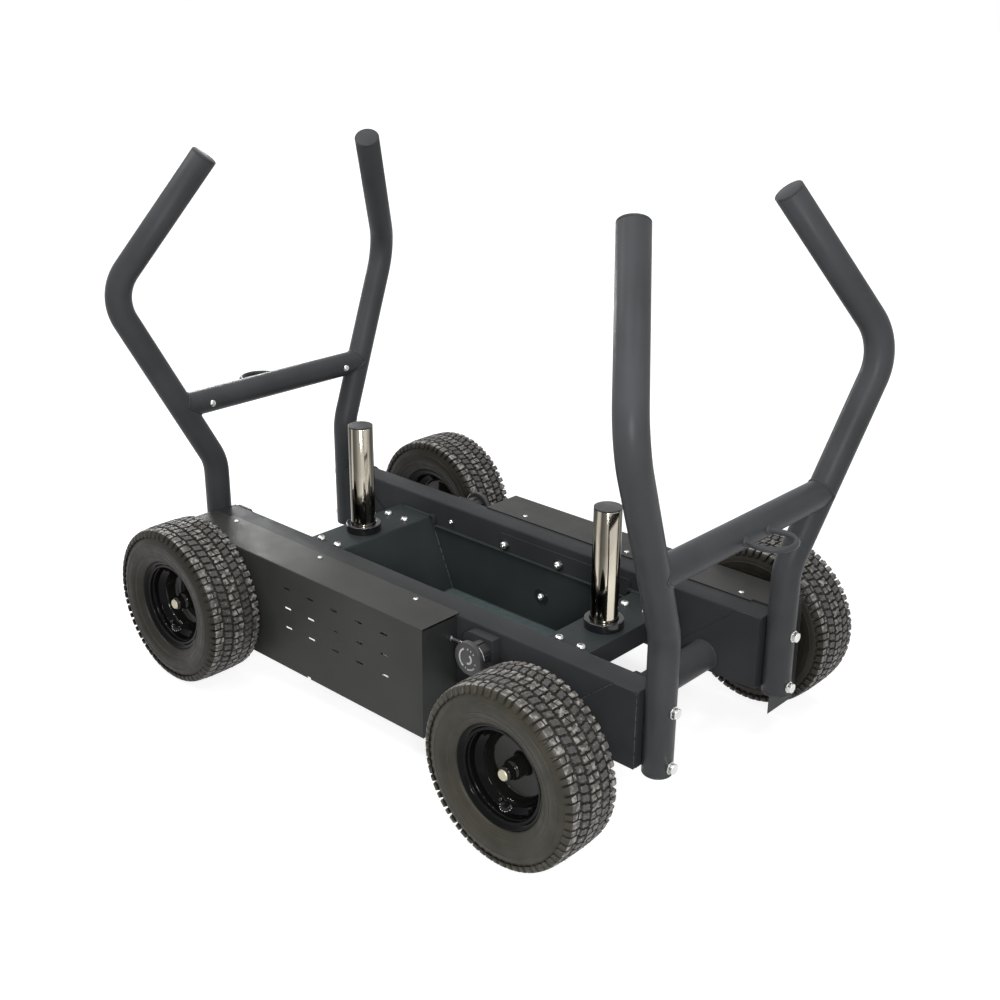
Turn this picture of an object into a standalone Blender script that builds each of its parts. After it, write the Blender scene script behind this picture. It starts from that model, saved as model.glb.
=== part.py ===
"""Weight sled with four push handles, four tyred wheels and a magnetic brake for each axle.

Axes: X runs along the sled, Y across it, Z up, and the ground is z = 0. The sled looks the same
after half a turn about Z, so each side box, selector and brake is modelled once, on the side
y < 0, and its partner is that mesh turned half a turn. Every size is in metres.
"""
import math

import bmesh
import bpy
from mathutils import Matrix, Vector

for leftover in list(bpy.data.objects):
    bpy.data.objects.remove(leftover, do_unlink=True)

# Clearances between neighbouring pieces
gap = 0.0003
running_gap = 0.0006

# Bent push handles, given for the corner x > 0, y > 0 and mirrored to the other three
tube_diameter = 0.0508
tube_wall = 0.003
handle_tip_x = 0.4975
handle_tip_y = 0.2005
handle_tip_height = 0.9920
handle_elbow_x = 0.6224
handle_elbow_y = 0.3536
handle_elbow_height = 0.7324
handle_knee_x = 0.5720
handle_knee_y = 0.1760
handle_knee_height = 0.3664
handle_foot_height = 0.1235
handle_bend_radius = 0.100
tube_end_thickness = 0.003
tube_sides = 16
bend_steps = 3
bore_sides = 12

# Crossbar between each pair of handles, with its screw holes and its tow loop
crossbar_height = 0.4916
crossbar_end_clear = 0.004
crossbar_screw_inset = 0.058
crossbar_screw_diameter = 0.008
tow_bar_diameter = 0.010
tow_loop_foot_spread = 0.065
tow_loop_width = 0.077
tow_loop_reach = 0.064

# Side rails: closed box section
rail_width = 0.0508
rail_height = 0.140
rail_wall = 0.003
rail_top = 0.2685
rail_end_thickness = 0.006
gusset_thickness = 0.004
gusset_top_length = 0.046
gusset_bottom_length = 0.212

# Two through bolts hold each handle to the end of its rail
handle_bolt_heights = (0.242, 0.142)
handle_bolt_diameter = 0.010

# Wheels and axles
wheel_radius = 0.158
wheel_base_half = 0.435
tyre_width = 0.116
tread_width = 0.092
tyre_shoulder_drop = 0.007
tyre_shoulder_inset = 0.004
tyre_flange_clear = 0.002
tyre_wall = 0.008
tyre_bead_width = 0.010
rim_flange_radius = 0.0894
rim_bead_radius = 0.0760
rim_well_radius = 0.0600
rim_width = 0.092
rim_wall = 0.003
rim_flange_thickness = 0.004
rim_well_inset = 0.032
rim_disc_thickness = 0.004
rim_hub_radius = 0.019
rim_hub_inner_end = 0.050
rim_hub_outer_end = 0.032
wheel_segments = 24
axle_diameter = 0.020
axle_end_stand_out = 0.005
axle_tube_diameter = 0.057
axle_tube_wall = 0.003
axle_hole_diameter = 0.030
bearing_length = 0.015

# Cross members that carry the weight posts
cross_member_x = 0.318
cross_member_width = 0.096
cross_member_height = 0.038
cross_member_wall = 0.004
cross_member_drop = 0.0403

# Weight posts
post_diameter = 0.050
post_wall = 0.003
post_top = 0.459
post_cap_thickness = 0.004
post_plug_depth = 0.010
collar_diameter = 0.072
collar_height = 0.016
round_sides = 20
bearing_sides = 16
hole_sides = 8

# Bin between the rails
sheet = 0.0025
bin_floor = 0.081
bin_floor_half_length = 0.204
bin_side_top = 0.215
bin_screw_pitch = 0.049
bin_screw_half_spread = 0.093
bin_screw_diameter = 0.008

# Mounting straps on the inner faces of the rails, and the bolt holes there
strap_height = 0.036
strap_thickness = 0.003
strap_start_x = -0.071
strap_end_x = 0.262
strap_bolt_x = (-0.055, 0.088)
strap_bolt_diameter = 0.010
bin_bolt_x = 0.045
bin_bolt_height = 0.145

# Side boxes that house the brakes
box_sheet = 0.0015
box_depth = 0.0866
box_wheel_clearance = 0.010
box_inner_end_x = 0.151
box_bottom = 0.056
box_flange_width = 0.022
box_end_drop = 0.003
lid_overlap = 0.0065
lid_notch_length = 0.051
lid_overhang = 0.0008
lid_screw_x = (-0.465, -0.204, 0.058)
lid_screw_inset = 0.0105
lid_screw_diameter = 0.004
vent_columns = 5
vent_rows = 3
vent_pitch_x = 0.067
vent_pitch_z = 0.041
vent_centre_x = -0.079
vent_centre_z = 0.1865
vent_length = 0.018
vent_height = 0.0035

# Chain drive and magnetic brake inside each box
chain_pitch = 0.0127
chain_width = 0.008
chain_thickness = 0.007
axle_sprocket_teeth = 24
rotor_sprocket_teeth = 10
sprocket_thickness = 0.006
sprocket_tooth_depth = 0.005
drive_plane_offset = 0.0336
rotor_x = -0.079
rotor_z = 0.165
rotor_disc_radius = 0.085
rotor_disc_thickness = 0.006
rotor_disc_offset = 0.0606
rotor_shaft_diameter = 0.017
rotor_bearing_diameter = 0.060
rotor_bearing_length = 0.022

# Magnet yoke that the selector slides over the rim of the rotor disc
magnet_thickness = 0.005
magnet_clear = 0.0015
magnet_length = 0.030
magnet_height = 0.060
magnet_engagement = 0.006
magnet_travel = 0.024
yoke_plate = 0.0035
yoke_web_thickness = 0.007
link_rod_diameter = 0.006
link_rod_offset = 0.0136
link_rod_z = 0.227
guide_length = 0.020
guide_centre_x = 0.090
guide_side = 0.022

# Resistance selector on the outer face of the rail
selector_x = 0.232
selector_z = 0.233
housing_start_x = 0.184
housing_end_x = 0.254
housing_height = 0.058
housing_drop = 0.0085
housing_corner_radius = 0.020
housing_depth = 0.020
knob_radius = 0.022
knob_lobe_depth = 0.002
knob_lobes = 6
knob_length = 0.027
dial_radius = 0.031
dial_thickness = 0.010
knob_stub_radius = 0.005
knob_stub_depth = 0.0025

# Sizes worked out from the ones above
tube_radius = tube_diameter / 2
handle_tip = Vector((handle_tip_x, handle_tip_y, handle_tip_height))
handle_elbow = Vector((handle_elbow_x, handle_elbow_y, handle_elbow_height))
handle_knee = Vector((handle_knee_x, handle_knee_y, handle_knee_height))
axle_height = wheel_radius
rail_centre_y = handle_knee_y
rail_inner_y = rail_centre_y - rail_width / 2
rail_outer_y = rail_centre_y + rail_width / 2
rail_bottom = rail_top - rail_height
rail_reach = handle_knee_x - tube_radius - gap
box_outer_y = rail_outer_y + box_depth
wheel_track_half = box_outer_y + box_wheel_clearance + tyre_width / 2
drive_plane_y = rail_outer_y + drive_plane_offset
rotor_disc_y = rail_outer_y + rotor_disc_offset
link_rod_y = rail_outer_y + link_rod_offset
cross_member_top = rail_top - cross_member_drop
bin_flange_top = cross_member_top + gap + sheet
cross_member_inner_x = cross_member_x - cross_member_width / 2
cross_member_outer_x = cross_member_x + cross_member_width / 2
axle_sprocket_radius = chain_pitch / 2 / math.sin(math.pi / axle_sprocket_teeth)
rotor_sprocket_radius = chain_pitch / 2 / math.sin(math.pi / rotor_sprocket_teeth)
lid_underside = rail_top + gap
lid_top = lid_underside + box_sheet

ends = ((-1, "a"), (1, "b"))
sides_of_sled = ((-1, "near"), (1, "far"))

finishes = {
    "charcoal_coat": ((0.060, 0.062, 0.068), 0.20, 0.45),
    "black_coat": ((0.020, 0.021, 0.023), 0.20, 0.45),
    "gloss_black": ((0.008, 0.008, 0.010), 0.30, 0.12),
    "chrome": ((0.80, 0.79, 0.77), 1.00, 0.08),
    "zinc": ((0.55, 0.55, 0.54), 1.00, 0.30),
    "steel": ((0.35, 0.35, 0.36), 1.00, 0.35),
    "aluminium": ((0.62, 0.63, 0.65), 1.00, 0.30),
    "rubber": ((0.035, 0.033, 0.030), 0.00, 0.80),
    "black_plastic": ((0.015, 0.015, 0.016), 0.00, 0.40),
}


def finish_material(finish):
    """The material of one finish, made when it is first asked for."""
    if finish in bpy.data.materials:
        return bpy.data.materials[finish]
    colour, metallic, roughness = finishes[finish]
    made = bpy.data.materials.new(finish)
    made.use_nodes = True
    shader = made.node_tree.nodes["Principled BSDF"]
    shader.inputs["Base Color"].default_value = (*colour, 1.0)
    shader.inputs["Metallic"].default_value = metallic
    shader.inputs["Roughness"].default_value = roughness
    return made


def loft(rings, closed=False):
    """A solid skinned over rings of equal point count: capped at both ends, or closed like a torus."""
    made = bmesh.new()
    placed = [[made.verts.new(point) for point in ring] for ring in rings]
    count = len(rings[0])
    spans = len(rings) if closed else len(rings) - 1
    for span in range(spans):
        here = placed[span]
        after = placed[(span + 1) % len(rings)]
        for i in range(count):
            j = (i + 1) % count
            made.faces.new((here[i], here[j], after[j], after[i]))
    if not closed:
        made.faces.new(placed[0])
        made.faces.new(placed[-1])
    bmesh.ops.recalc_face_normals(made, faces=made.faces)
    return made


def block(low, high):
    """A rectangular block between two corners."""
    corners = ((low[0], low[1]), (high[0], low[1]), (high[0], high[1]), (low[0], high[1]))
    return loft([[(x, y, z) for x, y in corners] for z in (low[2], high[2])])


def ring_about(centre, axis, radius, sides, phase=0.0):
    """Points of a circle about an axis: 'X', 'Y' or 'Z'. The radius may be a function of the angle."""
    points = []
    for i in range(sides):
        angle = 2 * math.pi * i / sides + phase
        reach = radius(i) if callable(radius) else radius
        across = reach * math.cos(angle)
        up = reach * math.sin(angle)
        offset = {"X": (0, across, up), "Y": (across, 0, up), "Z": (across, up, 0)}[axis]
        points.append(Vector(centre) + Vector(offset))
    return points


def turned(centre, axis, profile, sides, closed=False):
    """A turned piece: profile is a list of (distance along the axis, radius)."""
    unit = {"X": Vector((1, 0, 0)), "Y": Vector((0, 1, 0)), "Z": Vector((0, 0, 1))}[axis]
    half_step = math.pi / sides
    rings = []
    for along, radius in profile:
        rings.append(ring_about(Vector(centre) + unit * along, axis, radius, sides, half_step))
    return loft(rings, closed)


def cylinder(centre, axis, start, end, radius, sides=12):
    """A plain cylinder, or a drill for a hole, from start to end along its axis."""
    return turned(centre, axis, [(start, radius), (end, radius)], sides)


def pipe(centre, axis, start, end, outer_radius, inner_radius, sides):
    """A straight pipe, open at both ends."""
    profile = [(start, outer_radius), (end, outer_radius), (end, inner_radius), (start, inner_radius)]
    return turned(centre, axis, profile, sides, closed=True)


def rounded_path(corners, radius, steps):
    """The corners of a bent tube's axis with each inner corner swapped for an arc."""
    path = [corners[0]]
    for before, corner, after in zip(corners, corners[1:], corners[2:]):
        way_in = (corner - before).normalized()
        way_out = (after - corner).normalized()
        turn = way_in.angle(way_out)
        start = corner - way_in * radius * math.tan(turn / 2)
        pivot_side = (way_out - way_in * way_in.dot(way_out)).normalized()
        pivot = start + pivot_side * radius
        for step in range(steps + 1):
            angle = turn * step / steps
            path.append(pivot - pivot_side * radius * math.cos(angle) + way_in * radius * math.sin(angle))
    path.append(corners[-1])
    return path


def path_rings(path, radius, sides):
    """Rings square to a path, carried along it without twist."""
    directions = []
    for i, point in enumerate(path):
        before = path[max(i - 1, 0)]
        after = path[min(i + 1, len(path) - 1)]
        directions.append((after - before).normalized())
    side = directions[0].orthogonal().normalized()
    rings = []
    for point, direction in zip(path, directions):
        side = (side - direction * side.dot(direction)).normalized()
        other = direction.cross(side)
        ring = []
        for i in range(sides):
            angle = 2 * math.pi * i / sides
            ring.append(point + (side * math.cos(angle) + other * math.sin(angle)) * radius)
        rings.append(ring)
    return rings


def bent_rod(path, radius, sides):
    """A solid bar along a path."""
    return loft(path_rings(path, radius, sides))


def combine(solid, others, operation):
    """One solid with others cut away from it or joined to it."""
    result = solid
    for other in others:
        pair = []
        for role, source in (("body", result), ("tool", other)):
            mesh = bpy.data.meshes.new(role)
            source.to_mesh(mesh)
            helper = bpy.data.objects.new(role, mesh)
            bpy.context.scene.collection.objects.link(helper)
            pair.append(helper)
        modifier = pair[0].modifiers.new("combine", "BOOLEAN")
        modifier.operation = operation
        modifier.solver = "EXACT"
        modifier.object = pair[1]
        graph = bpy.context.evaluated_depsgraph_get()
        evaluated = bpy.data.meshes.new_from_object(pair[0].evaluated_get(graph))
        result = bmesh.new()
        result.from_mesh(evaluated)
        for helper in pair:
            mesh = helper.data
            bpy.data.objects.remove(helper, do_unlink=True)
            bpy.data.meshes.remove(mesh)
        bpy.data.meshes.remove(evaluated)
    return result


def cut(solid, *tools):
    """A solid with each tool's volume taken away."""
    return combine(solid, tools, "DIFFERENCE")


def fuse(solid, *others):
    """A solid welded to the others it overlaps."""
    return combine(solid, others, "UNION")


def flip(solid, x=False, y=False):
    """A mirror image in the planes x = 0 and y = 0, as asked."""
    made = solid.copy()
    made.transform(Matrix.Diagonal((-1 if x else 1, -1 if y else 1, 1, 1)))
    if x != y:
        bmesh.ops.reverse_faces(made, faces=made.faces)
    return made


def add_piece(name, solid, finish, origin=(0, 0, 0), parent=None):
    """Puts a solid in the scene as an object whose origin is at the given point."""
    origin = Vector(origin)
    solid.transform(Matrix.Translation(-origin))
    mesh = bpy.data.meshes.new(name)
    solid.to_mesh(mesh)
    mesh.shade_smooth()
    mesh.set_sharp_from_angle(angle=math.radians(35))
    mesh.materials.append(finish_material(finish))
    made = bpy.data.objects.new(name, mesh)
    made.location = origin
    bpy.context.scene.collection.objects.link(made)
    if parent is not None:
        made.parent = parent
        made.location = origin - parent.location
    return made


def add_partner(name, piece):
    """The same piece on the other side of the sled: it shares the mesh, turned half a turn about Z."""
    made = bpy.data.objects.new(name, piece.data)
    made.location = (-piece.location.x, -piece.location.y, piece.location.z)
    made.rotation_euler = (0, 0, math.pi)
    bpy.context.scene.collection.objects.link(made)
    return made


def hole(centre, axis, start, end, diameter):
    """A drill whose flats clear a round shank of the given diameter."""
    radius = diameter / 2 / math.cos(math.pi / hole_sides) + gap
    return cylinder(centre, axis, start, end, radius, hole_sides)


def point_on_mid_tube(height):
    """The handle's axis at a height between knee and elbow."""
    share = (height - handle_knee_height) / (handle_elbow_height - handle_knee_height)
    return handle_knee.lerp(handle_elbow, share)


def handle_path(end_wall):
    """The axis of one handle, stopped short of each end by the given thickness."""
    tip_direction = (handle_tip - handle_elbow).normalized()
    foot = Vector((handle_knee_x, handle_knee_y, handle_foot_height + end_wall))
    tip = handle_tip - tip_direction * end_wall
    return rounded_path([foot, handle_knee, handle_elbow, tip], handle_bend_radius, bend_steps)


def build_handles():
    """Four bent tubes with welded end discs, drilled for the bolts that hold them to the rails."""
    tube = bent_rod(handle_path(0), tube_radius, tube_sides)
    hollow = bent_rod(handle_path(tube_end_thickness), tube_radius - tube_wall, bore_sides)
    drills = []
    for height in handle_bolt_heights:
        bolt_centre = (handle_knee_x, handle_knee_y, height)
        drills.append(hole(bolt_centre, "X", -tube_diameter, tube_diameter, handle_bolt_diameter))
    handle = cut(tube, hollow, *drills)
    for end, name in ends:
        for side, place in sides_of_sled:
            add_piece("handle_%s_%s" % (name, place), flip(handle, end < 0, side < 0), "charcoal_coat")


def build_crossbars():
    """A tube between each pair of handles, coped to fit them, and its tow loop."""
    centre = point_on_mid_tube(crossbar_height)
    half = centre.y - crossbar_end_clear
    middle = (centre.x, 0, crossbar_height)
    bar = pipe(middle, "Y", -half, half, tube_radius, tube_radius - tube_wall, round_sides)
    cope_radius = (tube_radius + gap) / math.cos(math.pi / round_sides)
    for side in (-1, 1):
        low = handle_knee.copy()
        high = handle_elbow.copy()
        low.y *= side
        high.y *= side
        bar = cut(bar, bent_rod([low, high], cope_radius, round_sides))
        drill_centre = (centre.x, side * (centre.y - crossbar_screw_inset), crossbar_height)
        bar = cut(bar, hole(drill_centre, "X", -tube_diameter, 0, crossbar_screw_diameter))
    add_piece("crossbar_b", bar.copy(), "charcoal_coat")
    add_piece("crossbar_a", flip(bar, x=True), "charcoal_coat")
    foot_x = centre.x + tube_radius + gap
    half_foot = tow_loop_foot_spread / 2
    half_width = tow_loop_width / 2
    bend_x = foot_x + tow_loop_reach - half_width
    path = [Vector((foot_x, -half_foot, crossbar_height))]
    steps = 8
    for step in range(steps + 1):
        angle = -math.pi / 2 + math.pi * step / steps
        reach_x = bend_x + half_width * math.cos(angle)
        path.append(Vector((reach_x, half_width * math.sin(angle), crossbar_height)))
    path.append(Vector((foot_x, half_foot, crossbar_height)))
    loop = bent_rod(path, tow_bar_diameter / 2, 8)
    trim = cylinder(middle, "Y", -tow_loop_width, tow_loop_width, cope_radius, round_sides)
    loop = cut(loop, trim)
    add_piece("tow_loop_b", loop.copy(), "black_coat")
    add_piece("tow_loop_a", flip(loop, x=True), "black_coat")


def build_rails():
    """Two closed box-section rails with welded gusset plates, drilled for axles, handles and straps."""
    rail = cut(
        block((-rail_reach, rail_inner_y, rail_bottom), (rail_reach, rail_outer_y, rail_top)),
        block(
            (rail_end_thickness - rail_reach, rail_inner_y + rail_wall, rail_bottom + rail_wall),
            (rail_reach - rail_end_thickness, rail_outer_y - rail_wall, rail_top - rail_wall),
        ),
    )
    outline = [
        (rail_reach, rail_top),
        (rail_reach - gusset_top_length, rail_top),
        (rail_reach - gusset_bottom_length, rail_bottom),
        (rail_reach, rail_bottom),
    ]
    for start_y, end_y, on_ends in (
        (rail_inner_y - gusset_thickness, rail_inner_y + rail_wall / 2, (-1, 1)),
        (rail_outer_y - rail_wall / 2, rail_outer_y + gusset_thickness, (-1,)),
    ):
        for end in on_ends:
            rings = [[(end * x, y, z) for x, z in outline] for y in (start_y, end_y)]
            rail = fuse(rail, loft(rings))
    through = rail_width
    drills = []
    for end, name in ends:
        axle_centre = (end * wheel_base_half, rail_centre_y, axle_height)
        drills.append(hole(axle_centre, "Y", -through, through, axle_hole_diameter))
        for height in handle_bolt_heights:
            bolt_centre = (end * rail_reach, rail_centre_y, height)
            drills.append(hole(bolt_centre, "X", -through, through, handle_bolt_diameter))
    for x in strap_bolt_x:
        drills.append(hole((x, rail_centre_y, strap_bolt_height()), "Y", -through, 0, strap_bolt_diameter))
    drills.append(hole((bin_bolt_x, rail_centre_y, bin_bolt_height), "Y", -through, 0, strap_bolt_diameter))
    far = add_piece("rail_far", cut(rail, *drills), "charcoal_coat")
    add_partner("rail_near", far)


def strap_bolt_height():
    """The strap lies just above the bin's side wall, and its bolts sit low on it."""
    return bin_side_top + strap_height * 0.37


def build_axles():
    """Each live axle turns in two bearings inside the axle tube, and carries two wheels and a sprocket."""
    axle_end = wheel_track_half + rim_hub_outer_end + axle_end_stand_out
    tube_half = rail_inner_y - gusset_thickness - 2 * gap
    for side, end in ends:
        centre = Vector((side * wheel_base_half, 0, axle_height))
        tube = pipe(centre, "Y", -tube_half, tube_half, axle_tube_diameter / 2,
                    axle_tube_diameter / 2 - axle_tube_wall, round_sides)
        add_piece("axle_tube_" + end, tube, "charcoal_coat")
        seat_radius = (axle_tube_diameter / 2 - axle_tube_wall) * math.cos(math.pi / round_sides) - gap
        bore_radius = axle_diameter / 2 / math.cos(math.pi / bearing_sides) + gap
        for face, place in sides_of_sled:
            bearing = pipe(centre, "Y", face * (tube_half - bearing_length), face * tube_half, seat_radius,
                           bore_radius, bearing_sides)
            add_piece("axle_bearing_%s_%s" % (end, place), bearing, "steel")
        pivot = bpy.data.objects.new("axle_%s_pivot" % end, None)
        pivot.location = centre
        bpy.context.scene.collection.objects.link(pivot)
        axle = cylinder(centre, "Y", -axle_end, axle_end, axle_diameter / 2, 16)
        add_piece("axle_" + end, axle, "steel", centre, pivot)
        drive_y = side * drive_plane_y
        bore = axle_diameter / 2 + gap
        wheel = sprocket(centre, drive_y, axle_sprocket_radius, axle_sprocket_teeth, bore)
        add_piece("axle_sprocket_" + end, wheel, "steel", centre, pivot)
        for face, name in sides_of_sled:
            wheel_centre = centre + Vector((0, face * wheel_track_half, 0))
            add_piece("rim_%s_%s" % (end, name), rim(wheel_centre, face), "gloss_black", centre, pivot)
            add_piece("tyre_%s_%s" % (end, name), tyre(wheel_centre), "rubber", centre, pivot)


def tooth_outline(pitch_radius):
    """The radius of a toothed wheel at each of its outline's points, two for each tooth."""
    tip = pitch_radius - gap

    def radius_at(point):
        return tip if point % 2 == 0 else tip - sprocket_tooth_depth

    return radius_at


def sprocket(centre, along, pitch_radius, teeth, bore_radius):
    """A sprocket with a plain bore. Its tooth tips stay under the chain's plates."""
    outline = tooth_outline(pitch_radius)
    sides = teeth * 2
    low = along - sprocket_thickness / 2
    high = along + sprocket_thickness / 2
    rings = []
    for y, radius in ((low, outline), (high, outline), (high, bore_radius), (low, bore_radius)):
        rings.append(ring_about(Vector(centre) + Vector((0, y, 0)), "Y", radius, sides))
    return loft(rings, closed=True)


def rim(centre, face):
    """A pressed steel rim: flanges, sloping bead seats and drop well, with a disc and a hub tube inside."""
    half = rim_width / 2
    seat = half - rim_flange_thickness
    well = half - rim_well_inset
    lip = rim_flange_radius
    bore = axle_diameter / 2 + gap
    bead_inside = rim_bead_radius - rim_wall
    well_inside = rim_well_radius - rim_wall
    disc_outer_face = rim_disc_thickness - well
    profile = [
        (half, lip),
        (seat, lip),
        (seat, rim_bead_radius),
        (well, rim_well_radius),
        (-well, rim_well_radius),
        (-seat, rim_bead_radius),
        (-seat, lip),
        (-half, lip),
        (-half, bead_inside),
        (-well, well_inside),
        (-well, rim_hub_radius),
        (-rim_hub_inner_end, rim_hub_radius),
        (-rim_hub_inner_end, bore),
        (rim_hub_outer_end, bore),
        (rim_hub_outer_end, rim_hub_radius),
        (disc_outer_face, rim_hub_radius),
        (disc_outer_face, well_inside),
        (well, well_inside),
        (half, bead_inside),
    ]
    facing = [(face * along, radius) for along, radius in profile]
    return turned(centre, "Y", facing, wheel_segments, closed=True)


def tyre(centre):
    """A low-profile tyre, open towards the rim, with a flat tread and round shoulders."""
    half = tyre_width / 2
    seat = rim_width / 2 - rim_flange_thickness - gap
    bead_radius = rim_bead_radius + 2 * gap
    over_flange = rim_flange_radius + tyre_flange_clear
    bulge = (over_flange + wheel_radius) / 2
    outside = [
        (seat, bead_radius),
        (seat, over_flange),
        (half, bulge),
        (half - tyre_shoulder_inset, wheel_radius - tyre_shoulder_drop),
        (tread_width / 2, wheel_radius),
    ]
    inside = [
        (tread_width / 2, wheel_radius - tyre_wall),
        (half - tyre_wall, bulge),
        (seat - tyre_bead_width, bead_radius),
    ]
    profile = outside + [(-along, radius) for along, radius in reversed(outside)]
    profile += [(-along, radius) for along, radius in reversed(inside)] + inside
    return turned(centre, "Y", profile, wheel_segments, closed=True)


def build_cross_members():
    """An inverted channel at each end of the bin, with its weight post, post cap and seat collar."""
    top = cross_member_top
    bottom = top - cross_member_height
    half_y = rail_inner_y - gap
    wall = cross_member_wall
    channel = cut(
        block((cross_member_inner_x, -half_y, bottom), (cross_member_outer_x, half_y, top)),
        block(
            (cross_member_inner_x + wall, -half_y - gap, bottom - gap),
            (cross_member_outer_x - wall, half_y + gap, top - wall),
        ),
    )
    drills = [hole((x, y, top), "Z", -2 * wall, wall, bin_screw_diameter) for x, y in bin_screw_points()]
    channel = cut(channel, *drills)
    post_base = top + gap
    post_end = post_top - post_cap_thickness - gap
    centre = (cross_member_x, 0, 0)
    post_radius = post_diameter / 2
    post = pipe(centre, "Z", post_base, post_end, post_radius, post_radius - post_wall, round_sides)
    plug_radius = (post_radius - post_wall) * math.cos(math.pi / round_sides) - gap
    cap_low = post_top - post_cap_thickness
    cap = turned(centre, "Z", [
        (cap_low - post_plug_depth, plug_radius),
        (cap_low, plug_radius),
        (cap_low, post_radius),
        (post_top, post_radius),
    ], round_sides)
    collar_low = bin_flange_top + gap
    collar_high = collar_low + collar_height
    collar_bore = post_radius / math.cos(math.pi / round_sides) + gap
    collar = pipe(centre, "Z", collar_low, collar_high, collar_diameter / 2, collar_bore, round_sides)
    add_piece("cross_member_b", channel.copy(), "charcoal_coat")
    add_piece("cross_member_a", flip(channel, x=True), "charcoal_coat")
    add_piece("weight_post_b", post.copy(), "chrome")
    add_piece("weight_post_a", flip(post, x=True), "chrome")
    add_piece("post_cap_b", cap.copy(), "black_plastic")
    add_piece("post_cap_a", flip(cap, x=True), "black_plastic")
    add_piece("post_collar_b", collar.copy(), "black_plastic")
    add_piece("post_collar_a", flip(collar, x=True), "black_plastic")


def bin_screw_points():
    """Places of the four screws that hold one end of the bin to its cross member."""
    across = (-bin_screw_half_spread, bin_screw_half_spread)
    return [(cross_member_x + side * bin_screw_pitch / 2, y) for side in (-1, 1) for y in across]


def build_bin():
    """The open bin: floor, sloping end walls and end flanges from one sheet, and two side walls."""
    half_y = rail_inner_y - gap
    top = bin_flange_top
    wall_top_x = cross_member_inner_x - gap
    half_profile = [
        (cross_member_outer_x, top),
        (wall_top_x, top),
        (bin_floor_half_length, bin_floor),
    ]
    under_profile = [
        (bin_floor_half_length + sheet / 2, bin_floor - sheet),
        (wall_top_x + gap / 2, top - sheet),
        (cross_member_outer_x, top - sheet),
    ]
    inner_side = half_profile + [(-x, z) for x, z in reversed(half_profile)]
    under_side = [(-x, z) for x, z in reversed(under_profile)] + under_profile
    outline = inner_side + under_side
    rings = [[(x, y, z) for x, z in outline] for y in (-half_y, half_y)]
    strip = loft(rings)
    rise = (bin_side_top - bin_floor) / (top - bin_floor)
    side_top_x = bin_floor_half_length + (wall_top_x - bin_floor_half_length) * rise
    wall_outline = [
        (side_top_x, bin_side_top),
        (-side_top_x, bin_side_top),
        (-bin_floor_half_length, bin_floor - sheet / 2),
        (bin_floor_half_length, bin_floor - sheet / 2),
    ]
    made = strip
    for side in (-1, 1):
        rings = [[(x, side * y, z) for x, z in wall_outline] for y in (half_y - sheet, half_y)]
        made = fuse(made, loft(rings))
    drills = []
    for x, y in bin_screw_points():
        for end in (-1, 1):
            drills.append(hole((end * x, y, top), "Z", -2 * sheet, sheet, bin_screw_diameter))
    post_hole = post_diameter / 2 / math.cos(math.pi / round_sides) + running_gap
    for end in (-1, 1):
        post_centre = (end * cross_member_x, 0, top)
        drills.append(cylinder(post_centre, "Z", -2 * sheet, sheet, post_hole, round_sides))
        bolt_centre = (end * bin_bolt_x, end * half_y, bin_bolt_height)
        drills.append(hole(bolt_centre, "Y", -2 * sheet, 2 * sheet, strap_bolt_diameter))
    add_piece("weight_bin", cut(made, *drills), "charcoal_coat")


def build_straps():
    """A drilled strap bolted to the inner face of each rail, above the bin's side wall."""
    face_y = rail_inner_y - gap
    low_z = bin_side_top + gap
    high_z = low_z + strap_height
    strap = block((strap_start_x, face_y - strap_thickness, low_z), (strap_end_x, face_y, high_z))
    reach = 2 * strap_thickness
    drills = [
        hole((x, face_y, strap_bolt_height()), "Y", -reach, reach, strap_bolt_diameter)
        for x in strap_bolt_x
    ]
    far = add_piece("mount_strap_far", cut(strap, *drills), "charcoal_coat")
    add_partner("mount_strap_near", far)


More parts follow.
